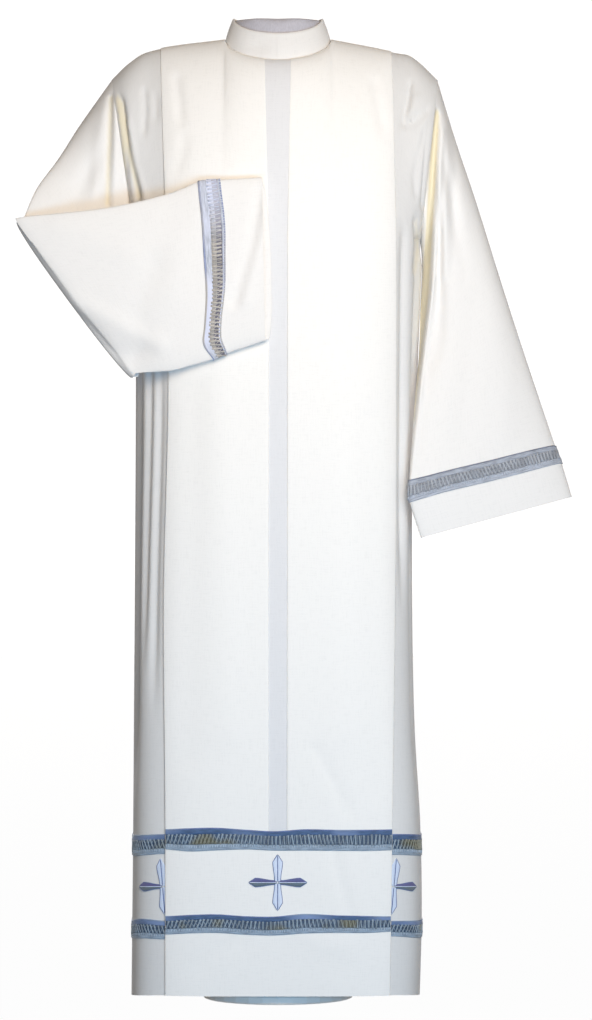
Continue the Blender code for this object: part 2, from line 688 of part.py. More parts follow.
def sleeve_ring(frames, folds, place, shrink=0.0):
    """Points round one ring, drawn in by shrink within the ring's own plane."""
    frame = frame_at(frames, place)
    inner, outer, depth, squareness = frame[0:3], frame[3:6], frame[6:9], frame[9]
    turn = np.arange(RING_POINTS) * 2 * math.pi / RING_POINTS
    along = -np.sign(np.cos(turn)) * np.abs(np.cos(turn)) ** (2 / squareness)
    aside = np.sign(np.sin(turn)) * np.abs(np.sin(turn)) ** (2 / squareness)
    half = (outer - inner) / 2
    half_length = np.linalg.norm(half)
    half_depth = np.linalg.norm(depth)
    move = np.zeros(RING_POINTS)
    for fold in folds:
        run = np.clip((place - fold.start) / (fold.end - fold.start), 0, 1)
        fade = math.sin(math.pi * run)
        where = fold.start_place + (fold.end_place - fold.start_place) * run
        layer = np.sin(turn) * fold.layer > 0.05
        move += np.where(layer, fold.depth * fade * np.exp(-(((along - where) / fold.half_width) ** 2)), 0)
    points = (inner + outer) / 2 + np.outer(along, half * (1 - shrink / half_length))
    depth_out = (half_depth - shrink) * aside + move * np.sign(aside)
    return points + np.outer(depth_out, depth / half_depth)


def make_sleeves(maker):
    plans = (
        ("left", sleeve_frames(-1), FOLDED_FOLDS, FOLDED_STEPS, FOLDED_BAND),
        ("right", sleeve_frames(1), HANGING_FOLDS, HANGING_STEPS, HANGING_BAND),
    )
    for name, frames, folds, steps, band in plans:
        layers = []
        for shrink in (0.0, WALL):
            rings = np.array([sleeve_ring(frames, folds, place, shrink) for place in steps])
            if name == "left":
                turn = np.arange(RING_POINTS) * 2 * math.pi / RING_POINTS
                rings[-1, :, 0] += CUFF_OVERHANG * np.clip(-np.sin(turn) + 0.3 * np.cos(turn), 0, 1)
            layers.append(rings)
        maker.add_wall(f"sleeve_{name}", *layers, maker.cloth, tube=True)
        layers = []
        for shrink in (-CUFF_BAND_GAP - TRIM, -CUFF_BAND_GAP):
            layers.append(np.array([sleeve_ring(frames, folds, place, shrink) for place in band]))
        maker.add_wall(f"band_cuff_{name}", *layers, maker.trim, tube=True)


def form_ring(up):
    """One closed ring of the torso: front, right end, back, left end."""
    across = np.array(FORM_COLUMNS)
    both = np.concatenate([-across[:0:-1], across])
    sides = []
    for face in (FRONT, BACK):
        points, normals = body_grid(face, both, [up], 0.0)
        inward = FORM_CLEARANCE + FORM_EASE * (1 - smooth((up - 0.45) / 0.45)) + fold_row(face, both, up)
        sides.append(points[0] - normals[0] * inward[:, None])
    if up in (0.0, 1.0):
        ridge = np.abs(both) >= (0.5 if up else 2.0)
        shared = (sides[0][ridge] + sides[1][ridge]) / 2
        sides[0][ridge] = shared
        sides[1][ridge] = shared
    if up == 1.0:
        neck = np.abs(both) <= 0.5
        for side, face in zip(sides, (FRONT, BACK)):
            side[neck] = top_row(face, both[neck]) * (FORM_NECK_SCALE, FORM_NECK_SCALE, 1.0)
            side[neck, 2] -= FORM_CLEARANCE
    front, back = sides
    caps = []
    for start, end, side in ((front[-1], back[-1], 1), (back[0], front[0], -1)):
        bulge = FORM_CAP_BULGE * math.sin(math.pi * max(up, 0.0))
        cap = []
        for degrees in FORM_CAP_TURNS:
            turn = math.radians(degrees)
            point = start + (end - start) * (1 - math.cos(turn)) / 2
            cap.append(point + np.array((side * bulge * math.sin(turn), 0.0, 0.0)))
        caps.append(cap)
    return np.concatenate([front, caps[0], back[::-1], caps[1]])


def make_form(maker):
    """The torso with its neck: one closed skin of rings."""
    half = FORM_COLUMNS[1:]
    both = [-across for across in reversed(half)] + [0.0, *half]
    rings = []
    chest = form_ring(0.0)
    for section in FORM_SECTIONS:
        scale = np.array((section.width, section.depth, 1.0))
        ring = chest * scale
        ring[:, 2] = section.height
        rings.append(ring)
    rings += [form_ring(up) for up in rows_between(0.0, 1.0, UPPER_ROWS + 1)]
    size = len(rings[0])
    vertices = [point for ring in rings for point in ring]
    faces = [list(range(size))]
    for row in range(len(rings) - 1):
        for column in range(size):
            after = (column + 1) % size
            low, high = row * size, (row + 1) * size
            faces.append([low + column, low + after, high + after, high + column])
    # The neck goes up from the columns that end at the neckline.
    neck_columns = [index for index, across in enumerate(both) if abs(across) <= 0.5]
    top = (len(rings) - 1) * size
    back_start = len(both) + len(FORM_CAP_TURNS)
    loop = [top + index for index in neck_columns]
    loop += [top + back_start + index for index in neck_columns[1:-1]]
    base = np.array([vertices[index] for index in loop])
    neck_half_width = COLLAR_TOP_HALF_WIDTH - COLLAR_WALL - FORM_NECK_GAP
    shrink = neck_half_width / np.abs(base[:, 0]).max()
    previous = loop
    for share in (*FORM_NECK_RINGS, 1.0):
        deep = 1 + (shrink * FORM_NECK_TAPER - 1) * share
        ring = base * np.array((1 + (shrink - 1) * share, deep, 1 - share))
        ring[:, 2] += NECK_TOP * share
        start = len(vertices)
        vertices += list(ring)
        current = list(range(start, start + len(ring)))
        for index in range(len(ring)):
            after = (index + 1) % len(ring)
            faces.append([previous[index], previous[after], current[after], current[index]])
        previous = current
    faces.append(previous)
    return maker.add("form_torso", vertices, faces, maker.form)


def add_cylinder(maker, name, radius, low, high, material, bevel=0.0):
    bpy.ops.mesh.primitive_cylinder_add(
        vertices=ROUND_SIDES, radius=radius, depth=high - low, location=(0.0, 0.0, (low + high) / 2)
    )
    made = bpy.context.object
    made.name = name
    made.data.name = name
    made.data.materials.append(material)
    for collection in list(made.users_collection):
        collection.objects.unlink(made)
    maker.collection.objects.link(made)
    if bevel:
        rounded = made.modifiers.new("rounded_edges", "BEVEL")
        rounded.width = bevel
        rounded.segments = 2
        rounded.limit_method = "ANGLE"
    made.data.shade_smooth()
    made.data.set_sharp_from_angle(angle=math.radians(40))
    return made


def make_stand(maker):
    socket_low = BASE_THICKNESS + SEAM_GAP
    socket_high = socket_low + SOCKET_HEIGHT
    add_cylinder(maker, "form_base", BASE_RADIUS, 0.0, BASE_THICKNESS, maker.steel, BASE_BEVEL)
    add_cylinder(maker, "form_socket", SOCKET_RADIUS, socket_low, socket_high, maker.steel, BASE_BEVEL)
    pole_high = FORM_SECTIONS[0].height - SEAM_GAP
    add_cylinder(maker, "form_pole", POLE_RADIUS, socket_high + SEAM_GAP, pole_high, maker.steel)


def main():
    for old in list(bpy.data.objects):
        bpy.data.objects.remove(old, do_unlink=True)
    maker = Maker()
    make_panels(maker)
    make_hem_bands(maker)
    make_crosses(maker)
    make_collar(maker)
    make_sleeves(maker)
    make_form(maker)
    make_stand(maker)


if __name__ == "__main__":
    main()
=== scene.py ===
"""Alb robe on a limbless dress form: the cloth, ribbon work, embroidery and stand in full detail.

Metres, +Z up, the front faces -Y. Left and right are as seen from the front, so left is -X.
The robe's body is one surface with two coordinates on each face (front or back):
  across  0 on the centre line, +-1 on the pleat's edge, +-2 on the side seam or armhole
  up     -1 on the hem, 0 on the armpit line, 1 on the shoulder seam or the collar's seam
"""

import json
import math
from collections import namedtuple

import bmesh
import bpy
import numpy as np
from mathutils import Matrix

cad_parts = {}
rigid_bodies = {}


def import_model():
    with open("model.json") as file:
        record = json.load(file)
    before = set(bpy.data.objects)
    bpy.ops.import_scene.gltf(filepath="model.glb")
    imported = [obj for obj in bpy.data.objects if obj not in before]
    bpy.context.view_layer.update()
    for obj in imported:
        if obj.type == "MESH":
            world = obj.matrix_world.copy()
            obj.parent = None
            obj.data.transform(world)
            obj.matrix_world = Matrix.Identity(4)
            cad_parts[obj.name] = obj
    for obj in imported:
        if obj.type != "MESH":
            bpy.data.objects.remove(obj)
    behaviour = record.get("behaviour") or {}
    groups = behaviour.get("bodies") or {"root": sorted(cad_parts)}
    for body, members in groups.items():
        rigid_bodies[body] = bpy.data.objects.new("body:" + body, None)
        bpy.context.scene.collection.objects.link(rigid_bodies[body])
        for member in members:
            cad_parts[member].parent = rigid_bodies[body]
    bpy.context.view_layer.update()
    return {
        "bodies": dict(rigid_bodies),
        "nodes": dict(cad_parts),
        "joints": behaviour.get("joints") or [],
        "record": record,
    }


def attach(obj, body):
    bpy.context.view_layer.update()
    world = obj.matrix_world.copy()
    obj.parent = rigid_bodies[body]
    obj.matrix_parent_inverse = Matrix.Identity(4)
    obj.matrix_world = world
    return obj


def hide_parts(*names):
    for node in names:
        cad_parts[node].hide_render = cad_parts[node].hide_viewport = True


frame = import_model()

bl_info = {
    "name": "Alb Robe",
    "version": (1, 0, 0),
    "blender": (4, 5, 0),
    "location": "View3D > Sidebar > Alb Robe",
    "description": "Builds an alb with openwork bands and embroidered crosses on a dress form",
    "category": "Object",
}

FRONT = -1
BACK = 1
FACES = ((FRONT, "front"), (BACK, "back"))
SIDES = ((-1, "left"), (1, "right"))


def table(columns, *rows):
    """Rows of values whose columns have names."""
    kind = namedtuple("Row", columns)
    return [kind(*row) for row in rows]


# Cloth layers, in metres
WALL = 0.0015
SEAM_GAP = 0.0003
SEWN_GAP = 0.0003
TURN_GAP = 0.0004
TURN_INSIDE = 0.994
TURN_REACH = (0.009, 0.0018)
RAW_EDGE = 0.0070
PANEL_BACK = 2 * WALL + TURN_GAP
SIDE_RECESS = PANEL_BACK + 0.0005
STRIP_EDGE = 0.080
STRIP_TUCK = 0.200
STRIP_RECESS = WALL + SEAM_GAP
# How far the pleats are pressed flat at the shoulder seam, as a share
PRESSED = 0.66
COLLAR_WALL = 0.0024
CUFF_BAND_GAP = 0.0005
# How far past a cuff ribbon's rings its sleeve is worked out, as a share of a ring
CUFF_REACH = 0.6

# Heights and the neckline
CHEST = 1.180
HEM = 0.012
HEM_FRONT = 0.0155
HEM_SIDE = 0.009
HEM_BACK = 0.012
BORDER_SEAM = 0.255
NECK_HALF_WIDTH = 0.0825
NECK_DEPTH = {FRONT: 0.056, BACK: 0.062}
NECK_HEIGHT = {FRONT: 1.4575, BACK: 1.486}
NECK_SIDE_HEIGHT = 1.494
# Half width, depth, height at the side, height on each face, and how far the collar is tucked in
COLLAR_SEAM = (NECK_HALF_WIDTH, NECK_DEPTH, NECK_SIDE_HEIGHT, NECK_HEIGHT, 0.0040)
COLLAR_EDGE = (0.0700, {FRONT: 0.0485, BACK: 0.0545}, 1.5265, {FRONT: 1.4988, BACK: 1.5255}, 0.0)
COLLAR_COLUMNS = 192
COLLAR_BOW = 0.0011
# Soft dents: depth, then the centre and width of each round the neck and up the collar
COLLAR_DENTS = ((0.0026, -0.42, 0.24, 0.50, 0.26), (-0.0006, 0.25, 0.30, 0.45, 0.4))
ARMHOLE_HALF_DEPTH = 0.058
SHOULDER_BEND = 1.1

SECTIONS = table(
    "height left right front back squareness",
    (0.000, 0.2275, 0.2200, 0.136, 0.142, 4.4),
    (0.130, 0.2262, 0.2235, 0.134, 0.140, 4.3),
    (0.270, 0.2250, 0.2215, 0.132, 0.137, 4.1),
    (0.420, 0.2242, 0.2130, 0.129, 0.132, 3.8),
    (0.620, 0.2230, 0.2092, 0.126, 0.125, 3.4),
    (0.850, 0.2218, 0.2100, 0.125, 0.118, 3.1),
    (1.020, 0.2214, 0.2150, 0.125, 0.115, 3.0),
    (1.180, 0.2210, 0.2220, 0.125, 0.115, 2.9),
)
PLEAT_LINES = table(
    "height left right",
    (0.000, 0.1726, 0.1721),
    (0.300, 0.1729, 0.1767),
    (0.620, 0.1757, 0.1813),
    (0.960, 0.1685, 0.1828),
    (1.180, 0.1716, 0.1828),
)
SHOULDER_SEAM = table(
    "across left_x left_z right_x right_z",
    (0.5, NECK_HALF_WIDTH, NECK_SIDE_HEIGHT, NECK_HALF_WIDTH, NECK_SIDE_HEIGHT),
    (1.0, 0.1825, 1.4805, 0.1763, 1.4755),
    (1.6, 0.2310, 1.4575, 0.2160, 1.4610),
    (2.0, 0.2590, 1.4310, 0.2490, 1.4300),
)

# Long folds in body coordinates: a trough has a depth below 0
FOLDS = table(
    "face across lean top bottom half_width depth",
    (FRONT, -1.13, -0.02, -0.10, -0.66, 0.055, -0.0055),
    (FRONT, -1.29, -0.03, -0.06, -0.60, 0.060, -0.0060),
    (FRONT, -1.60, 0.05, 0.05, -0.76, 0.120, -0.0090),
    (FRONT, 1.16, 0.02, 0.10, -0.52, 0.070, -0.0060),
    (FRONT, 1.62, -0.06, 0.05, -0.76, 0.120, -0.0095),
    (BACK, -1.55, 0.04, 0.05, -1.30, 0.120, -0.0090),
    (BACK, -1.22, 0.02, 0.25, -1.30, 0.080, -0.0050),
    (BACK, 1.58, -0.05, 0.05, -1.30, 0.120, -0.0095),
    (BACK, 1.20, 0.03, 0.20, -1.30, 0.080, -0.0055),
    (BACK, -0.52, -0.10, 0.45, -1.30, 0.120, -0.0080),
    (BACK, 0.46, 0.12, 0.40, -1.30, 0.130, -0.0085),
    (BACK, 0.02, 0.06, 0.10, -1.30, 0.110, -0.0045),
)
FOLD_END = 0.16
# In the across coordinate: how soon the hem has come up at the side, how soon a side piece has come out
# to the common surface, and where the creases begin to fade beside the side seam
HEM_EASE = 0.8
SIDE_EASE = 0.40
CREASE_END = 1.80
CREASE_FADE = 0.16

# Creases: a bent line seen from the front, how wide and how deep the cloth moves along it.
# Lengths in millimetres, x from the centre line and z from the floor.
Crease = namedtuple("Crease", "face x0 z0 x1 z1 x2 z2 half_width depth")


def crease_rows(face, *rows):
    return [Crease(face, *row) for row in rows]


BODY_CREASES = crease_rows(
    FRONT,
    # left shoulder
    (-249, 1400, -240, 1345, -236, 1240, 5.0, -5.0),
    (-243, 1392, -229, 1310, -214, 1243, 5.5, -5.5),
    (-246, 1380, -246, 1330, -243, 1245, 5.0, 3.5),
    (-232, 1360, -221, 1290, -204, 1240, 6.0, 3.0),
    (-207, 1408, -205, 1380, -207, 1346, 5.0, -3.0),
    (-190, 1398, -188, 1384, -189, 1366, 5.0, -2.2),
    (-157, 1426, -153, 1396, -149, 1362, 7.0, -2.6),
    (-145, 1330, -147, 1305, -156, 1282, 9.0, -1.8),
    # the hollow between the side and the hanging sleeve
    (213, 1206, 217, 1168, 213, 1130, 4.0, -4.5),
    # right shoulder
    (150, 1420, 154, 1395, 162, 1350, 8.0, -2.6),
    (205, 1420, 201, 1392, 193, 1358, 4.5, -3.4),
    (233, 1380, 218, 1366, 199, 1357, 4.5, -3.4),
    (214, 1398, 208, 1380, 207, 1368, 6.0, 2.4),
    (226, 1345, 221, 1318, 216, 1300, 4.5, -2.6),
    (214, 1290, 211, 1272, 213, 1250, 5.0, -2.2),
    (236, 1352, 230, 1310, 224, 1230, 5.0, -3.2),
    # long soft drape of the front
    (-88, 1010, -84, 800, -78, 420, 26.0, 1.6),
    (-128, 940, -132, 700, -138, 380, 20.0, -1.4),
    (92, 980, 96, 720, 98, 420, 30.0, 1.6),
    (142, 900, 146, 640, 150, 330, 18.0, -1.2),
    (58, 392, 84, 345, 106, 300, 10.0, -1.6),
    (84, 240, 98, 185, 114, 130, 9.0, -1.7),
    (30, 120, 62, 96, 100, 90, 14.0, 1.0),
    (-60, 96, -95, 88, -120, 60, 16.0, -1.0),
) + crease_rows(
    BACK,
    # the back: the same kinds of crease, not mirrored
    (152, 1425, 150, 1390, 143, 1350, 8.0, -2.6),
    (-150, 1418, -155, 1380, -160, 1340, 8.0, -2.4),
    (205, 1405, 206, 1375, 203, 1340, 5.0, -3.0),
    (-204, 1410, -200, 1375, -196, 1350, 5.0, -3.0),
    (60, 1060, 68, 820, 74, 430, 28.0, 1.6),
    (-96, 1020, -90, 760, -86, 400, 26.0, -1.6),
    (-62, 390, -84, 345, -104, 305, 10.0, -1.6),
)

# Hem bands
BAND_HEIGHTS = {"upper": (0.2394, 0.2700), "lower": (0.1109, 0.1391)}
SIDE_BAND_DROP = 0.0075
# How much cloth is worked out above and below a band, for its edges to stray over
BAND_MARGIN = 0.008
# How far each edge strays from its height along the panel, in millimetres
BAND_WAVES = table(
    "across upper_top upper_bottom lower_top lower_bottom",
    (-2.00, -0.5, -1.0, -2.6, -0.2),
    (-1.62, -1.0, -1.8, -2.4, -0.4),
    (-1.30, -0.9, -1.6, 1.4, 0.0),
    (-1.00, 0.3, 0.3, -1.6, -1.4),
    (-0.78, 2.4, -2.3, 0.8, 1.0),
    (-0.55, 3.4, -0.6, 2.0, 1.9),
    (-0.28, 0.4, 1.0, -0.9, -0.8),
    (-0.02, -1.9, -0.8, -1.4, -1.8),
    (0.22, 1.0, -0.7, 2.6, 1.0),
    (0.52, 0.2, -1.2, 0.4, 2.0),
    (0.80, 0.0, -1.6, -1.0, 1.6),
    (1.00, 0.0, -1.2, -2.0, 2.8),
    (1.30, -0.2, -1.6, -1.6, 0.8),
    (1.62, -0.6, -2.0, -0.6, 1.2),
    (2.00, -0.3, -2.4, -1.4, 1.3),
)
RIBBON_FINISHES = ("cord", "satin", "backing", "pale")
# Zones of the ribbon from its top edge: a finish and its places (share of the width, lift in millimetres)
Zone = namedtuple("Zone", "share lift finish")


def zones(*groups):
    return [Zone(*place, finish) for finish, *places in groups for place in places]


RIBBON_PROFILE = zones(
    ("cord", (0.000, 0.30), (0.000, 1.00), (0.020, 1.55), (0.050, 1.55)),
    ("satin", (0.065, 1.10), (0.090, 1.25), (0.170, 1.40), (0.255, 1.25)),
    ("backing", (0.275, 0.62), (0.320, 0.55), (0.500, 0.55), (0.690, 0.55)),
    ("pale", (0.715, 0.62), (0.735, 1.20), (0.830, 1.32), (0.930, 1.15), (0.950, 1.45),
     (0.980, 1.45), (1.000, 1.00), (1.000, 0.30)),
)
FOLDED_RIBBON_PROFILE = zones(
    ("cord", (0.000, 0.30), (0.000, 1.00), (0.020, 1.50), (0.070, 1.50)),
    ("satin", (0.090, 1.05), (0.200, 1.25), (0.340, 1.10)),
    ("pale", (0.370, 0.66), (0.500, 0.60), (0.570, 0.60)),
    ("backing", (0.600, 0.60), (0.700, 0.60), (0.840, 0.66)),
    ("satin", (0.860, 1.10), (0.915, 1.20)),
    ("cord", (0.930, 1.10), (0.950, 1.50), (0.985, 1.45), (1.000, 1.00), (1.000, 0.30)),
)
# The ladder's ground lies lower than this, in millimetres.
SUNK_LIFT = 0.68
# The ladder's loops and the short stitches below it
LADDER_LIFT = 0.0009
LOOP_PITCH = 0.0060
LOOP_WIDTH = 0.0032
STITCH_PITCH = 0.0040
# The unevenness of the loops' places, and their lean: a mean, a slow sway and a quick shake along the ribbon
UNEVEN_SHARE = 0.16
UNEVEN_RATE = 977.0
MEAN_LEAN = 0.35
LEAN_RATE = 17.0
SHAKE_SHARE = 0.25
SHAKE_RATE = 411.0
LOOP_SIZES = {"Width": LOOP_WIDTH, "Waist": 0.62, "Flatness": 0.50, "Variation": 0.12, "Seed": 11}
CROSSING_SIZES = {"Width": LOOP_WIDTH / 3, "Waist": 0.8, "Flatness": 0.60, "Variation": 0.12, "Seed": 7}
STITCH_SIZES = {"Width": 0.0013, "Waist": 0.9, "Flatness": 0.6, "Variation": 0.12, "Seed": 5}
# Waves round a cuff ribbon's edges: height, how many go round, and where they start
CUFF_RIPPLES = ((0.0007, 3, 1.0), (0.0003, 7, 0.0))
# How far each edge of a cuff ribbon bows towards the arm on the side that shows, in millimetres.
# across runs from the tube's underarm edge, -1, to its outer edge, 1.
CUFF_BOWS = {
    "left": table(
        "across arm_edge cuff_edge",
        (-1.00, 0.0, 0.0),
        (-0.75, 13.0, 7.5),
        (-0.57, 9.0, 6.0),
        (-0.19, 1.0, -2.2),
        (0.25, 0.0, -4.6),
        (1.00, 0.0, 0.0),
    ),
    "right": table(
        "across arm_edge cuff_edge",
        (-1.00, 0.0, 1.0),
        (-0.55, 0.0, 2.2),
        (-0.05, 2.0, 2.8),
        (0.45, 2.8, 2.4),
        (0.80, 2.6, 2.4),
        (1.00, 0.6, 1.0),
    ),
}

# Crosses
CROSS_HEIGHT = 0.1897
Arm = namedtuple("Arm", "length root widest tip")
UPRIGHT_ARM = Arm(0.0432, 0.0047, 0.0075, 0.0120)
LEVEL_ARM = Arm(0.0453, 0.0030, 0.0067, 0.0105)
ARM_ROOT_END = 0.004
OUTLINE_LIFT = 0.0009
SPINE_LIFT = 0.0014
CROSS_REACH = 0.052
STITCH_LIFT = 0.0008
STITCH_PUFF = 0.0007
SIDE_CROSS_ACROSS = 1.035
SIDE_CROSS_LEAN = 0.09
SIDE_CROSS_SHOWN = 0.0040

# How finely the pieces are divided
SMALL_STEP = 0.002
ROW_HEIGHT = 0.0065
SHOULDER_RUN = 0.31
ARC_STEPS = 60
PANEL_STEP = 0.026
SIDE_STEP = 0.03
BAND_STEP = 0.02
TUCK_START = 0.90
RING_POINTS = 128
RING_TURNS = np.arange(RING_POINTS) * 2 * math.pi / RING_POINTS

# Cloth and thread finishes
TWILL_TURN = math.radians(62)
THREAD_CONTRAST = 0.35
# The folded sleeve's ladder pales between these heights.
PALE_LADDER_FROM = (1.165, 1.235)

# The camera looks level along +Y at this place (x, z) and sees this height of it.
CAMERA_DISTANCE = 7.0
VIEW_HEIGHT = 1.5912
VIEW_CENTRE = (0.0281, 0.7597)
# The backdrop goes all round, outside every camera, and bends up from the floor.
BACKDROP_RADIUS = 18.0
BACKDROP_BEND = 1.6
BACKDROP_HEIGHT = 12.0
BACKDROP_SIDES = 128

# Sleeves. Each ring runs from its inner edge (underarm) to its outer edge.
Ring = namedtuple("Ring", "inner outer half_depth squareness")
HANGING_RINGS = [
    Ring((0.2270, -0.003, 1.140), (0.2778, 0.000, 1.334), 0.0550, 2.0),
    Ring((0.2235, -0.012, 1.080), (0.3084, -0.002, 1.242), 0.0480, 2.1),
    Ring((0.2200, -0.034, 1.000), (0.3450, -0.006, 1.124), 0.0400, 2.2),
    Ring((0.2120, -0.064, 0.925), (0.3800, -0.011, 1.014), 0.0315, 2.3),
    Ring((0.2020, -0.096, 0.8059), (0.4314, -0.019, 0.8594), 0.0220, 2.4),
    Ring((0.2034, -0.098, 0.7704), (0.4418, -0.021, 0.8310), 0.0200, 2.4),
    Ring((0.2204, -0.096, 0.7166), (0.4572, -0.024, 0.7799), 0.0175, 2.4),
]
UPPER_ARM_RINGS = [
    Ring((-0.2270, -0.018, 1.138), (-0.3080, -0.008, 1.360), 0.0500, 2.0),
    Ring((-0.2300, -0.050, 1.078), (-0.3400, -0.034, 1.306), 0.0350, 2.1),
    Ring((-0.2260, -0.082, 1.022), (-0.3720, -0.074, 1.256), 0.0215, 2.2),
]
CREASE_INNER = (-0.2135, -0.1180, 0.9695)
CREASE_OUTER = (-0.3905, -0.1180, 1.2085)
CREASE_RADIUS = 0.0120
CREASE_HALF_DEPTH = 0.0085
CREASE_TURNS = (0, 45, 90, 135, 180)
FOREARM_RINGS = [
    Ring((-0.1640, -0.1345, 0.9725), (-0.2620, -0.1345, 1.2220), 0.0100, 2.3),
    Ring((-0.1310, -0.1360, 0.9808), (-0.1708, -0.1355, 1.2425), 0.0105, 2.3),
    Ring((-0.0989, -0.1375, 0.9899), (-0.1226, -0.1365, 1.2610), 0.0105, 2.3),
    Ring((-0.0775, -0.1380, 0.9990), (-0.0877, -0.1370, 1.2648), 0.0105, 2.3),
    Ring((-0.0193, -0.1400, 1.0196), (-0.0239, -0.1390, 1.2681), 0.0100, 2.3),
]
CUFF_OVERHANG = 0.011
# Where the body swells out to the hanging sleeve, and how far the sleeve's underarm edge comes in
SWELL_TOP = 1.168
SWELL_BOTTOM = 0.860
SIDE_SWELL = 0.0041
UNDERARM_INSETS = (
    (0.0, 0.0),
    (0.5, 0.0010),
    (1.0, 0.0026),
    (2.0, 0.0015),
    (3.5, 0.0012),
    (4.5, 0.0),
)
ARMHOLE_TUCK = 0.0004
# Creases deeper and narrower than these, in millimetres, get painted warm shade, standing in for light bounced inside
# the fold; the paint is full at FULL_DEPTH.
MARKED_DEPTH = -4.4
MARKED_WIDTH = 7.0
FULL_DEPTH = 0.006
HANGING_FOLDS = table(
    "layer start_place end_place start end half_width depth",
    (-1, -0.10, -0.62, 0.3, 3.6, 0.16, -0.0080),
    (-1, 0.45, 0.25, 0.3, 2.8, 0.18, -0.0060),
    (1, 0.10, -0.40, 0.3, 4.2, 0.18, -0.0080),
    (1, 0.55, 0.45, 0.3, 3.0, 0.16, -0.0060),
)
FOLDED_FOLDS = table(
    "layer start_place end_place start end half_width depth",
    (-1, -0.20, 0.05, 0.3, 3.2, 0.16, -0.0060),
    (-1, 0.35, 0.55, 0.3, 2.8, 0.15, -0.0050),
    (1, 0.10, 0.30, 0.3, 3.0, 0.18, -0.0060),
)
# How soon folds and creases reach their full depth: a fold past the edges of its layer, and a crease past
# the tube's edges, past the armhole, and as the cloth turns to face its side
LAYER_FADE = 0.25
EDGE_FADE = 0.30
ARMHOLE_FADE = 0.12
FACING_FADE = 0.6
SLEEVE_CREASES = {
    "left": crease_rows(
        FRONT,
        (-259, 1400, -261, 1320, -264, 1232, 5.0, -5.0),
        (-252, 1390, -252, 1330, -254, 1236, 4.5, 2.5),
        (-272, 1380, -280, 1310, -284, 1240, 8.0, 2.0),
        # the forearm, folded over the chest
        (-26, 1247, -38, 1171, -66, 1078, 9.0, -4.0),
        (-15, 1251, -27, 1171, -50, 1078, 9.0, 3.0),
        (-306, 1035, -262, 1000, -222, 994, 22.0, -6.0),
        (-310, 1081, -226, 1035, -180, 1012, 14.0, 2.5),
        (-190, 1130, -215, 1070, -205, 1010, 22.0, -2.5),
        (-120, 1220, -150, 1160, -160, 1090, 26.0, 2.0),
        (-330, 1190, -270, 1170, -220, 1150, 24.0, 1.5),
    ),
    "right": crease_rows(
        FRONT,
        # the fold edge along the underarm
        (245, 1375, 229, 1098, 205, 898, 6.0, -9.0),
        (255, 1350, 241, 1117, 219, 932, 5.0, 5.0),
        (241, 1117, 219, 932, 202, 798, 5.0, 4.0),
        (262, 1360, 262, 1290, 256, 1120, 6.0, 3.0),
        (268, 1380, 276, 1290, 270, 1120, 7.0, -2.0),
        (300, 1200, 300, 1050, 285, 870, 18.0, -1.8),
        (340, 1090, 350, 980, 350, 880, 22.0, 1.6),
    ) + crease_rows(
        BACK,
        (270, 1380, 268, 1290, 262, 1120, 7.0, -4.0),
        (330, 1120, 340, 980, 345, 870, 20.0, -2.4),
    ),
}


def smooth(value):
    """A soft step from 0 to 1."""
    value = np.clip(value, 0.0, 1.0)
    return value * value * (3.0 - 2.0 * value)


def linear(hex_colour):
    """An sRGB hex colour as linear red, green and blue."""
    channels = [int(hex_colour[place : place + 2], 16) / 255 for place in (0, 2, 4)]
    return tuple(c / 12.92 if c <= 0.04045 else ((c + 0.055) / 1.055) ** 2.4 for c in channels)


def read_table(rows, column, at):
    """The named column at a place along the table's first column, joined by a smooth curve."""
    places = np.array([row[0] for row in rows])
    values = np.array([getattr(row, column) for row in rows])
    slopes = np.gradient(values, places)
    at = np.clip(at, places[0], places[-1])
    low = np.clip(np.searchsorted(places, at) - 1, 0, len(places) - 2)
    step = places[low + 1] - places[low]
    t = (at - places[low]) / step
    start = (1 + 2 * t) * (1 - t) ** 2 * values[low] + t * (1 - t) ** 2 * step * slopes[low]
    end = t * t * (3 - 2 * t) * values[low + 1] + t * t * (t - 1) * step * slopes[low + 1]
    return start + end


def up_at(height):
    """The up coordinate of a height at the centre front, below the armpit line."""
    return (height - CHEST) / (CHEST - HEM_FRONT)


def skirt_row(face, across, up):
    """Points round the tube at one level below the armpit line."""
    height = CHEST + up * (CHEST - HEM)
    depth = read_table(SECTIONS, "front" if face == FRONT else "back", height)
    squareness = read_table(SECTIONS, "squareness", height)
    centre = HEM_FRONT if face == FRONT else HEM_BACK
    hem = centre + (HEM_SIDE - centre) * smooth((np.abs(across) - 1.0) / HEM_EASE)
    points = np.zeros((len(across), 3))
    points[:, 2] = CHEST + up * (CHEST - hem)
    for side, name in SIDES:
        mine = across < 0 if side < 0 else across >= 0
        reach = np.abs(across[mine])
        half_width = read_table(SECTIONS, name, height)
        pleat = read_table(PLEAT_LINES, name, height) / half_width
        pleat_depth = (1 - pleat**squareness) ** (1 / squareness)
        angle = np.linspace(math.atan2(pleat, pleat_depth), math.pi / 2, ARC_STEPS)
        radius = (np.sin(angle) ** squareness + np.cos(angle) ** squareness) ** (-1 / squareness)
        curve = np.stack([half_width * radius * np.sin(angle), depth * radius * np.cos(angle)], 1)
        length = run_length(curve)
        wanted = np.clip(reach - 1, 0, 1) * length[-1]
        flat = pleat * np.minimum(reach, 1)
        flat_depth = depth * (1 - flat**squareness) ** (1 / squareness)
        round_x = np.interp(wanted, length, curve[:, 0])
        round_y = np.interp(wanted, length, curve[:, 1])
        points[mine, 0] = side * np.where(reach > 1, round_x, flat * half_width)
        points[mine, 1] = face * np.where(reach > 1, round_y, flat_depth)
    return points


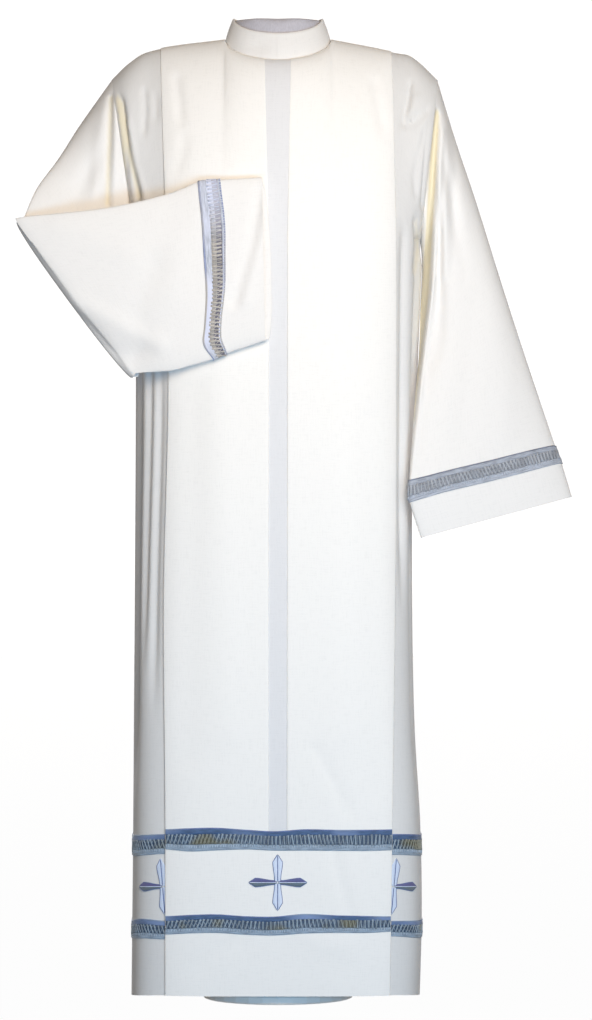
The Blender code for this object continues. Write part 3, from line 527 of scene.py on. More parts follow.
def top_row(face, across):
    """Points along the collar's seam, then the shoulder seam."""
    reach = np.abs(across)
    turn = np.minimum(reach, 0.5) * math.pi
    points = np.zeros((len(across), 3))
    points[:, 0] = np.sign(across) * NECK_HALF_WIDTH * np.sin(turn)
    points[:, 1] = face * NECK_DEPTH[face] * np.cos(turn)
    points[:, 2] = NECK_SIDE_HEIGHT - (NECK_SIDE_HEIGHT - NECK_HEIGHT[face]) * np.cos(turn)
    for side, name in SIDES:
        mine = (reach > 0.5) & (np.sign(across) == side)
        points[mine, 0] = side * read_table(SHOULDER_SEAM, name + "_x", reach[mine])
        points[mine, 1] = 0
        points[mine, 2] = read_table(SHOULDER_SEAM, name + "_z", reach[mine])
    return points


def base_row(face, across, up):
    """Points of the body's surface at one value of up, before its folds."""
    across = np.clip(across, -2.0, 2.0)
    if up <= 0:
        return skirt_row(face, across, up)
    angle = min(up, 1.0) * math.pi / 2
    low = skirt_row(face, across, 0.0)
    top = top_row(face, across)
    armhole = smooth(np.abs(across) - 1.0)
    rise = math.sin(angle) ** (SHOULDER_BEND + (2.0 - SHOULDER_BEND) * armhole)
    points = low + (top - low) * rise[:, None]
    points[:, 1] = top[:, 1] + (low[:, 1] - top[:, 1]) * max(math.cos(angle), 0.0) ** SHOULDER_BEND
    points[:, 1] += face * ARMHOLE_HALF_DEPTH * armhole * math.sin(2 * angle)
    return points


def fold_row(face, across, up):
    """How far the long folds move the surface out at one value of up."""
    move = np.zeros(len(across))
    for fold in FOLDS:
        if fold.face != face:
            continue
        run = np.clip((fold.top - up) / (fold.top - fold.bottom), 0, 1)
        fade = smooth((fold.top - up) / FOLD_END) * smooth((up - fold.bottom) / FOLD_END)
        offset = (across - fold.across - fold.lean * run) / fold.half_width
        move += fold.depth * fade * np.exp(-(offset**2))
    return move


def side_swell(across, height):
    """The body's cloth swells out beside the hanging sleeve, so that the two all but touch."""
    along = smooth((SWELL_TOP - height) / 0.03) * smooth((height - SWELL_BOTTOM) / 0.10)
    return SIDE_SWELL * along * smooth((across - 1.5) / 0.35)


def crease_move(creases, face, points):
    """How far the listed creases move points of one face out, in metres."""
    flat = points[..., (0, 2)]
    move = np.zeros(flat.shape[:-1])
    for crease in creases:
        if crease.face != face:
            continue
        corners = np.array(crease[1:7]).reshape(3, 2) / 1000
        nearest = np.full(move.shape, 9.0)
        for start, end in zip(corners[:-1], corners[1:]):
            line = end - start
            share = np.clip(((flat - start) @ line) / (line @ line), 0, 1)
            gap = flat - start - share[..., None] * line
            nearest = np.minimum(nearest, np.linalg.norm(gap, axis=-1))
        move += crease.depth / 1000 * np.exp(-((nearest * 1000 / crease.half_width) ** 2))
    return move


def paint_fold_warmth(made, creases, strength):
    """Marks how deep each point of a piece lies in the listed creases, for its cloth to paint warm shade there,
    standing in for light bounced between the sides of a fold.
    """
    mesh = made.data
    points, normals = np.empty((2, len(mesh.vertices), 3), np.float32)
    mesh.vertices.foreach_get("co", points.reshape(-1))
    mesh.vertices.foreach_get("normal", normals.reshape(-1))
    troughs = [crease for crease in creases if crease.depth < MARKED_DEPTH and crease.half_width < MARKED_WIDTH]
    deep = np.zeros(len(points))
    for face in (FRONT, BACK):
        move = crease_move(troughs, face, points)
        deep += np.clip(-move / FULL_DEPTH, 0, 1) ** 2 * smooth(face * normals[:, 1] / 0.3)
    layer = mesh.attributes.new("fold", "FLOAT", "POINT")
    layer.data.foreach_set("value", (strength * deep).astype(np.float32))


def body_grid(face, across, ups):
    """(points, normals) of the body's cloth on a grid, with its folds and creases."""
    across = np.asarray(across, float)
    points = []
    normals = []
    for up in ups:
        row = base_row(face, across, up)
        sideways = base_row(face, across + SMALL_STEP, up) - base_row(face, across - SMALL_STEP, up)
        upward = base_row(face, across, up + SMALL_STEP) - base_row(face, across, up - SMALL_STEP)
        normal = unit(-face * np.cross(sideways, upward))
        fade = 1 - smooth((np.abs(across) - CREASE_END) / CREASE_FADE)
        bent = crease_move(BODY_CREASES, face, row) * fade
        move = fold_row(face, across, up) + bent + side_swell(across, row[:, 2])
        row = row + normal * move[:, None]
        row[:, 1] += face * SEAM_GAP / 2
        points.append(row)
        normals.append(normal)
    return np.array(points), np.array(normals)


def patch(face, columns, ups):
    """Outer and inner points of a patch, from columns of (across, outer lift, inner lift, inner across)."""
    columns = np.array(columns)
    # The cloth is pressed thinner towards the shoulder seam, so the pleats hardly show there.
    pressed = (1 - PRESSED * smooth(np.asarray(ups) / 0.5))[:, None, None]
    points, normals = body_grid(face, columns[:, 0], ups)
    outer = points + normals * columns[None, :, 1, None] * pressed
    if np.array_equal(columns[:, 0], columns[:, 3]):
        return outer, points + normals * columns[None, :, 2, None] * pressed
    inner_points, inner_normals = body_grid(face, columns[:, 3], ups)
    return outer, inner_points + inner_normals * columns[None, :, 2, None] * pressed


def spaced(low, high, step):
    return np.linspace(low, high, int(math.ceil(abs(high - low) / step - 1e-9)) + 1)


def levels(low, high):
    """Values of up from low to high, a row height apart on the cloth."""
    skirt = spaced(low, min(high, 0.0), ROW_HEIGHT / (CHEST - HEM_FRONT))
    if high <= 0:
        return skirt
    return np.concatenate([skirt, spaced(0.0, high, ROW_HEIGHT / SHOULDER_RUN)[1:]])


def plain(across, lift=0.0, thickness=WALL):
    return (across, lift, lift - thickness, across)


def raw_edge(across, side):
    """Columns that round off a cut edge; the cloth goes on towards side."""
    columns = []
    for reach, outer, inner in ((0.0, -0.55, -0.75), (0.0025, -0.18, -0.95), (RAW_EDGE, 0.0, -1.0)):
        place = across + side * reach
        columns.append((place, outer * WALL, inner * WALL, place))
    return columns


def turned_edge(side):
    """Columns that carry a panel round its pleated edge and back under itself."""
    columns = []
    for turn in np.linspace(0, math.pi, 9):
        outer, inner = (TURN_INSIDE + reach * math.sin(turn) for reach in TURN_REACH)
        lift = -PANEL_BACK / 2 * (1 - math.cos(turn))
        columns.append((side * outer, lift, -WALL - TURN_GAP / 2 * (1 - math.cos(turn)), side * inner))
    for across in (0.97, 0.95, 0.925, TUCK_START):
        columns.append((side * across, -PANEL_BACK, -WALL - TURN_GAP, side * across))
    return columns


def side_lift(across):
    """Side pieces lie behind the panel's edge and come out to the common surface round the side."""
    return -SIDE_RECESS * (1 - smooth((abs(across) - 1.0) / SIDE_EASE))


def link_object(name, data):
    made = bpy.data.objects.new(name, data)
    bpy.context.scene.collection.objects.link(made)
    return made


def run_length(path):
    """How far along a line of points each of them lies."""
    return np.concatenate([[0], np.cumsum(np.linalg.norm(np.diff(path, axis=0), axis=1))])


def unit(vectors):
    return vectors / np.linalg.norm(vectors, axis=1, keepdims=True)


class Piece:
    """Collects closed walls, grids and tubes into one mesh with a UV map in metres."""

    def __init__(self, name, *materials):
        self.name = name
        self.materials = list(materials)
        self.points = []
        self.faces = []
        self.uvs = []
        self.finishes = []
        self.count = 0

    def add(self, points, faces, uvs, finishes):
        faces = np.asarray(faces)
        corners = np.asarray(points)[faces]
        # The signed volume says whether a closed piece is inside out.
        cross = np.cross(corners[:, 1] - corners[:, 0], corners[:, 2] - corners[:, 0])
        cross += np.cross(corners[:, 2] - corners[:, 0], corners[:, 3] - corners[:, 0])
        centre = np.asarray(points).mean(axis=0)
        if np.einsum("ij,ij->", corners.mean(axis=1) - centre, cross) < 0:
            faces = faces[:, ::-1]
        self.points.append(np.asarray(points))
        self.faces.append(faces + self.count)
        self.uvs.append(np.asarray(uvs))
        self.finishes.append(np.asarray(finishes))
        self.count += len(points)

    def wall(self, outer, inner, tube=False, finishes=None):
        """A closed wall between two grids of points. finishes names the material of each row."""
        rows, columns = outer.shape[:2]
        size = rows * columns
        index = np.arange(size).reshape(rows, columns)
        across = np.concatenate([index, index[:, :1]], axis=1) if tube else index
        low, high = across[:-1], across[1:]
        quads = np.stack([low[:, :-1], low[:, 1:], high[:, 1:], high[:, :-1]], -1).reshape(-1, 4)
        row_of = np.repeat(np.arange(rows - 1), across.shape[1] - 1)
        rims = [(across[0, :-1], across[0, 1:], 0), (across[-1, 1:], across[-1, :-1], rows - 2)]
        faces = [quads, quads[:, ::-1] + size]
        kinds = [row_of, row_of]
        if not tube:
            rims += [(index[1:, 0], index[:-1, 0], None), (index[:-1, -1], index[1:, -1], None)]
        for start, end, row in rims:
            faces.append(np.stack([end, start, start + size, end + size], -1))
            if row is None:
                kinds.append(np.minimum(start, end) // columns)
            else:
                kinds.append(np.full(len(start), row))
        kinds = np.concatenate(kinds)
        shown = np.zeros(len(kinds), int) if finishes is None else np.array(finishes)[kinds]
        lengths = run_length(outer[rows // 2]), run_length(outer[:, columns // 2])
        uv = np.stack(np.meshgrid(*lengths), -1).reshape(-1, 2)
        points = np.concatenate([outer.reshape(-1, 3), inner.reshape(-1, 3)])
        self.add(points, np.concatenate(faces), np.concatenate([uv, uv]), shown)

    def tube(self, path, normals, radius, finish, sides=8, flatness=1.0):
        """A round cord along a path; its ends taper to a point."""
        path = np.asarray(path)
        along = unit(np.gradient(path, axis=0))
        aside = unit(np.cross(along, normals))
        above = np.cross(aside, along)
        turn = np.arange(sides) * 2 * math.pi / sides
        size = np.full(len(path), radius)
        size[0] = size[-1] = radius * 0.25
        ring = aside[:, None] * np.cos(turn)[None, :, None]
        ring = ring + above[:, None] * np.sin(turn)[None, :, None] * flatness
        points = path[:, None] + ring * size[:, None, None]
        index = np.arange(len(path) * sides).reshape(len(path), sides)
        after = np.roll(index, -1, axis=1)
        quads = np.stack([index[:-1], after[:-1], after[1:], index[1:]], -1).reshape(-1, 4)
        caps = []
        for row in (index[0], index[-1][::-1]):
            for step in range(1, sides - 2, 2):
                caps.append([row[0], row[step + 2], row[step + 1], row[step]])
        uv = np.stack(np.meshgrid(turn * radius, run_length(path)), -1).reshape(-1, 2)
        quads = np.concatenate([quads, np.array(caps)])
        self.add(points.reshape(-1, 3), quads, uv, np.full(len(quads), finish))

    def finish(self, slot, sharp=40):
        points = np.concatenate(self.points)
        faces = np.concatenate(self.faces)
        mesh = bpy.data.meshes.new(self.name)
        mesh.from_pydata(points.tolist(), [], faces.tolist())
        for material in self.materials:
            mesh.materials.append(material)
        mesh.polygons.foreach_set("material_index", np.concatenate(self.finishes).astype(np.int32))
        layer = mesh.uv_layers.new(name="cloth")
        corners = np.empty(len(mesh.loops), np.int32)
        mesh.loops.foreach_get("vertex_index", corners)
        layer.data.foreach_set("uv", np.concatenate(self.uvs)[corners].astype(np.float32).ravel())
        mesh.update()
        mesh.shade_smooth()
        mesh.set_sharp_from_angle(angle=math.radians(sharp))
        made = link_object(self.name, mesh)
        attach(made, "root")
        return made


def set_node(tree, node, values):
    """Sets a node's properties and sockets. A node or a socket given as a value is linked, a node by its
    first output. Stops are the places and colours along a ramp."""
    for name, value in values.items():
        if name == "stops":
            for stop, (place, colour) in zip(node.color_ramp.elements, value):
                stop.position = place
                stop.color = (*colour, 1)
        elif isinstance(value, (bpy.types.Node, bpy.types.NodeSocket)):
            source = value.outputs[0] if isinstance(value, bpy.types.Node) else value
            tree.links.new(source, node.inputs[name])
        elif isinstance(name, int) or name in node.inputs:
            node.inputs[name].default_value = value
        else:
            setattr(node, name, value)
    return node


def add_node(tree, kind, values=None):
    return set_node(tree, tree.nodes.new(kind), values or {})


def new_material(name, colour, **shader_values):
    material = bpy.data.materials.new(name)
    material.use_nodes = True
    tree = material.node_tree
    values = {key.replace("_", " "): value for key, value in shader_values.items()}
    shader = set_node(tree, tree.nodes["Principled BSDF"], {"Base Color": (*colour, 1.0), **values})
    return material, tree, shader


def object_place(tree):
    return add_node(tree, "ShaderNodeTexCoord").outputs["Object"]


def darker(colour, share):
    return tuple(share * channel for channel in colour)


def patches(tree, scale, low, high):
    """A share from 0 to 1 in soft patches: 1 where the noise is over high."""
    place = object_place(tree)
    noise = add_node(tree, "ShaderNodeTexNoise", {"Scale": scale, "Detail": 1.5, "Vector": place})
    return add_node(tree, "ShaderNodeMapRange", {"From Min": low, "From Max": high, "Value": noise})


def upper_share(tree):
    """A share that is 0 below the heights where the folded sleeve's ladder pales and 1 above them."""
    place = object_place(tree)
    parts = add_node(tree, "ShaderNodeSeparateXYZ", {"Vector": place})
    low, high = PALE_LADDER_FROM
    values = {"From Min": low, "From Max": high, "Value": parts.outputs["Z"]}
    return add_node(tree, "ShaderNodeMapRange", values)


def olive_patch(tree):
    return patches(tree, 15.0, 0.57, 0.67)


def ladder_share(kind):
    """The share that changes the colour of a ribbon's ladder."""
    return upper_share if kind == "left cuff" else olive_patch


# Soft patches where the satin and the cords are painted paler, as painted sheen.
def painted_sheen_patch(tree):
    return patches(tree, 9.0, 0.52, 0.66)


def blended(tree, share, first, second):
    """A colour that goes from the first, a socket, to the second with a share."""
    values = {"data_type": "RGBA", 0: share, 6: first, 7: (*second, 1)}
    return add_node(tree, "ShaderNodeMix", values).outputs[2]


def band_scale(pitch):
    """A wave's own scale is 20 bands for each 2 pi, so this gives one band for each pitch."""
    return 2 * math.pi / 20 / pitch


def threaded(parts, colour, dark, pitch, depth, mottle=0.35, direction="X", patch=None, streak=(1, 1, 1)):
    """Adds fine threads and a soft unevenness of colour to a material that reads its UV map.
    patch is a second colour and the share that brings it in; streak stretches the unevenness."""
    material, tree, shader = parts
    uv = add_node(tree, "ShaderNodeUVMap", {"uv_map": "cloth"})
    drawn = add_node(tree, "ShaderNodeMapping", {"Scale": streak, "Vector": uv})
    noise = add_node(tree, "ShaderNodeTexNoise", {"Scale": 42.0, "Detail": 4.0, "Vector": drawn})
    wave = {"bands_direction": direction, "Scale": band_scale(pitch), "Distortion": 1.2, "Detail": 2.0}
    threads = add_node(tree, "ShaderNodeTexWave", {**wave, "Vector": uv}).outputs["Fac"]
    mixed = add_node(tree, "ShaderNodeMath", {"operation": "MULTIPLY", 0: noise, 1: mottle})
    sum_of = {"operation": "MULTIPLY_ADD", 0: threads, 1: THREAD_CONTRAST, 2: mixed}
    spread = add_node(tree, "ShaderNodeMath", sum_of)
    # The ramp runs from a little below the mean of the noise and the threads to a little above it.
    lowest = 0.5 * mottle - 0.075
    stops = ((lowest, dark), (lowest + 0.45, colour))
    shown = add_node(tree, "ShaderNodeValToRGB", {"Fac": spread, "stops": stops}).outputs["Color"]
    if patch:
        shown = blended(tree, patch[1](tree), shown, patch[0])
    bump = add_node(tree, "ShaderNodeBump", {"Strength": 0.6, "Distance": depth, "Height": threads})
    set_node(tree, shader, {"Base Color": shown, "Normal": bump})
    return material


def robe_cloth(settings, kind="ivory"):
    """Fine wool and polyester twill, matt with a faint bloom, woven in yarn that varies a little.
    The centre strip's colour is a little greyer than the panels'. The side pieces, the stiffened collar and the
    sleeves, which hang with nothing white behind them, get greyer colours as painted shade."""
    name = f"{kind} wool twill"
    if name in bpy.data.materials:
        return bpy.data.materials[name]
    colour = getattr(settings, kind)
    finish = {"Roughness": 0.86, "Specular_IOR_Level": 0.25, "Sheen_Weight": 0.22, "Sheen_Roughness": 0.45}
    material, tree, shader = new_material(name, colour, **finish)
    uv = add_node(tree, "ShaderNodeUVMap", {"uv_map": "cloth"})
    # Yarns 0.5 mm apart are too fine to show, so the weave is drawn at the pitch in the settings.
    turned = add_node(tree, "ShaderNodeMapping", {"Rotation": (0, 0, TWILL_TURN), "Vector": uv})
    weave = {"Scale": band_scale(settings.weave_pitch), "Distortion": 1.5, "Detail": 2.0, "Detail Scale": 1.4}
    twill = add_node(tree, "ShaderNodeTexWave", {**weave, "Vector": turned}).outputs["Fac"]
    # Slubs are long thin places where the yarn is thicker, along the weft and the warp.
    slubs = []
    for scale in ((60, 520, 1), (520, 45, 1)):
        way = add_node(tree, "ShaderNodeMapping", {"Scale": scale, "Vector": uv})
        slubs.append(add_node(tree, "ShaderNodeTexNoise", {"Scale": 1.0, "Detail": 2.0, "Vector": way}))
    both = add_node(tree, "ShaderNodeMath", {"operation": "ADD", 0: slubs[0], 1: slubs[1]})
    stops = ((0.75, darker(colour, 0.965)), (1.0, colour))
    ramp = add_node(tree, "ShaderNodeValToRGB", {"Fac": both, "stops": stops})
    # Painted warm shade: the colour goes towards the fold colour where the fold mark lies, for light bounced inside
    # deep creases.
    fold = add_node(tree, "ShaderNodeAttribute", {"attribute_name": "fold"}).outputs["Fac"]
    shown = blended(tree, fold, ramp.outputs["Color"], settings.fold)
    drape = add_node(tree, "ShaderNodeTexNoise", {"Scale": 26.0, "Detail": 2.0, "Vector": uv})
    heights = add_node(tree, "ShaderNodeMath", {"operation": "MULTIPLY_ADD", 0: twill, 1: 0.30, 2: both})
    fine = add_node(tree, "ShaderNodeBump", {"Strength": 0.35, "Distance": 0.00025, "Height": heights})
    soft = {"Strength": 0.5, "Distance": 0.0009, "Height": drape, "Normal": fine}
    set_node(tree, shader, {"Base Color": shown, "Normal": add_node(tree, "ShaderNodeBump", soft)})
    return material


def ribbon_materials(colours, kind):
    """Viscose satin ribbon with an openwork ladder: cords, satin, the ladder's ground and paler satin.
    The satin is smooth with a soft sheen; its lighter streaks along the ribbon are painted sheen, patches of paler
    colour."""
    plans = (
        ("cord", colours.cord, 0.45, 0.0011, "X", (colours.pale, painted_sheen_patch)),
        ("satin", colours.satin, 0.45, 0.0013, "X", (colours.sheen, painted_sheen_patch)),
        ("ladder ground", colours.ground, 0.42, 0.0016, "Y", (colours.patch, ladder_share(kind))),
        ("paler satin", colours.pale, 0.48, 0.0012, "X", (colours.sheen, upper_share)),
    )
    made = [bpy.data.materials.get(f"{kind} {plan[0]}") for plan in plans]
    if all(made):
        return made
    satin = {"Roughness": 0.5, "Specular_IOR_Level": 0.3, "Sheen_Weight": 0.06}
    look = {"mottle": 1.2, "streak": (1.6, 14, 1)}
    made = []
    for name, colour, dark, pitch, direction, patch in plans:
        parts = new_material(f"{kind} {name}", colour, **satin)
        shades = (colour, darker(colour, dark))
        made.append(threaded(parts, *shades, pitch, 0.0003, direction=direction, patch=patch, **look))
    return made


def thread_finish(name, colour, second, share):
    """Viscose embroidery thread: plied, smooth and bright along its length."""
    if name in bpy.data.materials:
        return bpy.data.materials[name]
    material, tree, shader = new_material(name, colour, Roughness=0.45, Sheen_Weight=0.2)
    place = object_place(tree)
    mottle = add_node(tree, "ShaderNodeTexNoise", {"Scale": 55.0, "Detail": 3.0, "Vector": place})
    stops = ((0.36, darker(colour, 0.62)), (0.60, colour))
    ramp = add_node(tree, "ShaderNodeValToRGB", {"Fac": mottle, "stops": stops})
    shown = blended(tree, share(tree), ramp.outputs["Color"], second)
    set_node(tree, shader, {"Base Color": shown})
    return material


def cross_materials(settings):
    """Satin-stitched viscose thread: close parallel threads with a bright, one-way sheen."""
    parts = {"violet": settings.upper, "grey": settings.lower, "pale": settings.pale, "outline": settings.outline}
    satin = {"Roughness": 0.35, "Specular_IOR_Level": 0.55, "Sheen_Weight": 0.15}
    made = []
    for part, colour in parts.items():
        name = f"cross {part} thread"
        if name not in bpy.data.materials:
            shades = (colour, darker(colour, 0.75))
            threaded(new_material(name, colour, **satin), *shades, 0.0010, 0.00025, direction="Y")
        made.append(bpy.data.materials[name])
    return made


def repeat_tree():
    """Geometry Nodes: one waisted thread bar on each point, turned by the point's own turn attribute."""
    if "thread_bars" in bpy.data.node_groups:
        return bpy.data.node_groups["thread_bars"]
    tree = bpy.data.node_groups.new("thread_bars", "GeometryNodeTree")
    inputs = {"Geometry": None, "Length": 0.012, "Width": 0.002, "Waist": 0.6, "Flatness": 0.6}
    inputs.update({"Variation": 0.1, "Seed": 3, "Material": None})
    kinds = {"Geometry": "Geometry", "Material": "Material", "Seed": "Int"}
    for name, value in inputs.items():
        kind = "NodeSocket" + kinds.get(name, "Float")
        socket = tree.interface.new_socket(name, in_out="INPUT", socket_type=kind)
        if value is not None:
            socket.default_value = value
    tree.interface.new_socket("Geometry", in_out="OUTPUT", socket_type="NodeSocketGeometry")
    given = add_node(tree, "NodeGroupInput").outputs
    place = add_node(tree, "GeometryNodeInputPosition")
    parts = add_node(tree, "ShaderNodeSeparateXYZ", {"Vector": place}).outputs
    values = {socket.name: socket for socket in (*given, *parts)}
    # Each row is a value's name, what makes it, and what it is made from.
    # The share runs from -0.5 to 0.5 along the bar; the bar is narrowest at its middle.
    for name, operation, *terms in (
        ("half", "MULTIPLY", "Width", 0.5),
        ("share", "DIVIDE", "Z", "Length"),
        ("square", "MULTIPLY", "share", "share"),
        ("missing", "SUBTRACT", 1.0, "Waist"),
        ("wider", "MULTIPLY", "square", "missing"),
        ("girth", "MULTIPLY_ADD", "wider", 4.0, "Waist"),
        ("wide", "MULTIPLY", "X", "girth"),
        ("flat", "MULTIPLY", "girth", "Flatness"),
        ("deep", "MULTIPLY", "Y", "flat"),
        ("low", "SUBTRACT", 1.0, "Variation"),
        ("high", "ADD", 1.0, "Variation"),
    ):
        sockets = {index: values.get(term, term) for index, term in enumerate(terms)}
        values[name] = add_node(tree, "ShaderNodeMath", {"operation": operation, **sockets})
    size = {"Vertices": 6, "Side Segments": 4, "Radius": values["half"], "Depth": given["Length"]}
    bar = add_node(tree, "GeometryNodeMeshCylinder", size)
    shaped = {"X": values["wide"], "Y": values["deep"], "Z": values["Z"]}
    shape = add_node(tree, "ShaderNodeCombineXYZ", shaped)
    waisted = add_node(tree, "GeometryNodeSetPosition", {"Geometry": bar, "Position": shape})
    turn = add_node(tree, "GeometryNodeInputNamedAttribute", {"data_type": "FLOAT_VECTOR", "Name": "turn"})
    rotation = add_node(tree, "FunctionNodeEulerToRotation", {"Euler": turn})
    random = {"data_type": "FLOAT", "Seed": given["Seed"], 2: values["low"], 3: values["high"]}
    scale = add_node(tree, "FunctionNodeRandomValue", random).outputs[1]
    placing = {"Points": given["Geometry"], "Instance": waisted, "Rotation": rotation, "Scale": scale}
    placed = add_node(tree, "GeometryNodeInstanceOnPoints", placing)
    real = add_node(tree, "GeometryNodeRealizeInstances", {"Geometry": placed})
    soft = add_node(tree, "GeometryNodeSetShadeSmooth", {"Geometry": real})
    coloured = {"Geometry": soft, "Material": given["Material"]}
    add_node(tree, "NodeGroupOutput", {"Geometry": add_node(tree, "GeometryNodeSetMaterial", coloured)})
    return tree


def thread_bars(name, places, ways, normals, sizes, material):
    """Thread bars on places, each along its way and flat against its normal, as one plain mesh."""
    places, ways, normals = (np.asarray(each, float) for each in (places, ways, normals))
    ways = unit(ways)
    aside = unit(np.cross(normals, ways))
    above = np.cross(ways, aside)
    lean = np.arctan2(above[:, 2], ways[:, 2])
    turns = np.stack([lean, np.arcsin(np.clip(-aside[:, 2], -1, 1)), np.arctan2(aside[:, 1], aside[:, 0])], 1)
    mesh = bpy.data.meshes.new(name + "_places")
    mesh.from_pydata(places.tolist(), [], [])
    turn = mesh.attributes.new("turn", "FLOAT_VECTOR", "POINT")
    turn.data.foreach_set("vector", turns.astype(np.float32).ravel())
    made = link_object(name, mesh)
    modifier = made.modifiers.new("thread_bars", "NODES")
    modifier.node_group = tree = repeat_tree()
    values = dict(sizes, Material=material)
    for socket in tree.interface.items_tree:
        if socket.in_out == "INPUT" and socket.name in values:
            modifier[socket.identifier] = values[socket.name]
    graph = bpy.context.evaluated_depsgraph_get()
    plain_mesh = bpy.data.meshes.new_from_object(made.evaluated_get(graph))
    made.modifiers.remove(modifier)
    made.data = plain_mesh
    bpy.data.meshes.remove(mesh)
    if not plain_mesh.polygons:
        raise RuntimeError(f"{name} has no bars")
    plain_mesh.name = name
    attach(made, "root")
    return made


# ---- The robe's body ----


def panel_columns(side):
    inner = side * STRIP_EDGE
    columns = raw_edge(inner, side)
    start = inner + side * RAW_EDGE
    columns += [plain(across) for across in spaced(start, side * TURN_INSIDE, PANEL_STEP)[1:-1]]
    return columns + turned_edge(side)


def whole_columns():
    """Columns right across a panel whose two edges are turned under."""
    middle = [plain(across) for across in spaced(-TURN_INSIDE, TURN_INSIDE, PANEL_STEP)[1:-1]]
    return list(reversed(turned_edge(-1))) + middle + turned_edge(1)


def side_columns(side):
    reach = np.concatenate([spaced(TUCK_START, 1.0, SIDE_STEP)[:-1], spaced(1.0, 1.985, SIDE_STEP)])
    columns = [plain(side * across, side_lift(across)) for across in reach]
    # The side seam is pressed, so the cloth rolls in a little beside it.
    columns.append((side * 1.992, -0.15 * WALL, -WALL, side * 1.992))
    columns.append((side * 2.0, -0.45 * WALL, -WALL, side * 2.0))
    return columns


def make_body(settings):
    above = levels(up_at(BORDER_SEAM + SEAM_GAP / 2), 1.0)
    below = levels(-1.0, up_at(BORDER_SEAM - SEAM_GAP / 2))
    whole = levels(-1.0, 1.0)
    plans = [(f"front_{name}", FRONT, panel_columns(side), above) for side, name in SIDES]
    strip_tucks = spaced(-STRIP_TUCK, STRIP_TUCK, SIDE_STEP)
    plans.append(("front_strip", FRONT, [plain(across, -STRIP_RECESS) for across in strip_tucks], above))
    plans.append(("front_border", FRONT, whole_columns(), below))
    plans.append(("back", BACK, whole_columns(), whole))
    for side, name in SIDES:
        for face, face_name in FACES:
            plans.append((f"side_{face_name}_{name}", face, side_columns(side), whole))
    for node_name, face, columns, ups in plans:
        # Side pieces take the greyer side colour as painted shade; the centre strip takes its own, a little greyer,
        # colour.
        kind = "strip" if node_name == "front_strip" else "side" if "side" in node_name else "ivory"
        piece = Piece(f"{node_name}_cloth", robe_cloth(settings, kind))
        piece.wall(*patch(face, columns, ups))
        made = piece.finish("ivory_cloth")
        paint_fold_warmth(made, BODY_CREASES, 0.7)
        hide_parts(node_name)


# ---- Collar ----


def collar_point(turn, share, shrink):
    """A point of the collar: turn goes round from the front, share from the seam up to the edge."""
    face = FRONT if math.cos(turn) > 0 else BACK
    along = abs(math.cos(turn))
    ends = []
    for half_width, depth, side_height, height, tuck in (COLLAR_SEAM, COLLAR_EDGE):
        forward = face * (depth[face] - shrink) * along
        upward = side_height - (side_height - height[face]) * along - tuck
        ends.append(np.array(((half_width - shrink) * math.sin(turn), forward, upward)))
    return ends[0] + (ends[1] - ends[0]) * share


def make_collar(settings):
    """Interfaced stand collar: a full edge, a slight bow between seam and edge, and soft dents."""
    turns = np.linspace(0, 2 * math.pi, COLLAR_COLUMNS + 1)[:-1]
    shares = np.concatenate([[0.0, 0.03, 0.07], np.linspace(0.12, 0.90, 16), [0.94, 0.975, 1.0]])
    outer, inner = [], []
    for share in shares:
        bow = COLLAR_BOW * math.sin(math.pi * share)
        rim = 0.0004 * math.exp(-(((share - 0.93) / 0.035) ** 2))
        roll = 0.0008 * smooth((0.05 - share) / 0.05) + 0.0009 * smooth((share - 0.955) / 0.045)
        outer_row, inner_row = [], []
        for turn in turns:
            radial = np.array((math.sin(turn), -math.cos(turn), 0.0))
            lift = bow + rim - roll
            around = (turn + math.pi) % (2 * math.pi) - math.pi
            for depth, centre, width, middle, height in COLLAR_DENTS:
                lift -= depth * math.exp(-(((around - centre) / width) ** 2 + ((share - middle) / height) ** 2))
            outer_row.append(collar_point(turn, share, 0.0) + radial * lift)
            inner_row.append(collar_point(turn, share, COLLAR_WALL) + radial * (0.7 * bow + 0.6 * roll))
        outer.append(outer_row)
        inner.append(inner_row)
    # The collar's greyer colour is painted shade.
    piece = Piece("collar_cloth", robe_cloth(settings, "collar"))
    piece.wall(np.array(outer), np.array(inner), tube=True)
    made = piece.finish("ivory_cloth")
    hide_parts("collar")


# ---- Sleeves ----


def armhole_ring(side):
    """The armhole as a sleeve ring, tucked just inside the body's edge."""
    edge = np.array([2.0 * side])
    inner = base_row(FRONT, edge, 0.0)[0]
    outer = base_row(FRONT, edge, 1.0)[0]
    inner[1] = outer[1] = 0.0
    outward = np.cross((0.0, side, 0.0), outer - inner)
    outward *= -ARMHOLE_TUCK / np.linalg.norm(outward)
    return Ring(inner + outward, outer + outward, ARMHOLE_HALF_DEPTH + SEAM_GAP, 2.0)


def frame_of(ring, depth_direction=(0.0, 1.0, 0.0)):
    """One row of numbers for a ring: its two edges, its depth vector and its squareness."""
    depth = np.array(depth_direction) * ring.half_depth
    return np.concatenate([ring.inner, ring.outer, depth, [ring.squareness]])


def crease_frames():
    """Rings that turn the folded sleeve about its crease."""
    inner = np.array(CREASE_INNER)
    outer = np.array(CREASE_OUTER)
    crease = (outer - inner) / np.linalg.norm(outer - inner)
    outward = np.cross(crease, (0.0, 1.0, 0.0))
    frames = []
    for degrees in CREASE_TURNS:
        turn = math.radians(degrees)
        radial = outward * math.sin(turn) + np.array((0.0, 1.0, 0.0)) * math.cos(turn)
        move = radial * CREASE_RADIUS
        frames.append(frame_of(Ring(inner + move, outer + move, CREASE_HALF_DEPTH, 2.3), radial))
    return frames


def sleeve_frames(side):
    if side > 0:
        return np.array([frame_of(ring) for ring in [armhole_ring(1), *HANGING_RINGS]])
    start = [frame_of(ring) for ring in [armhole_ring(-1), *UPPER_ARM_RINGS]]
    end = [frame_of(ring, (0.0, -1.0, 0.0)) for ring in FOREARM_RINGS]
    return np.array(start + crease_frames() + end)


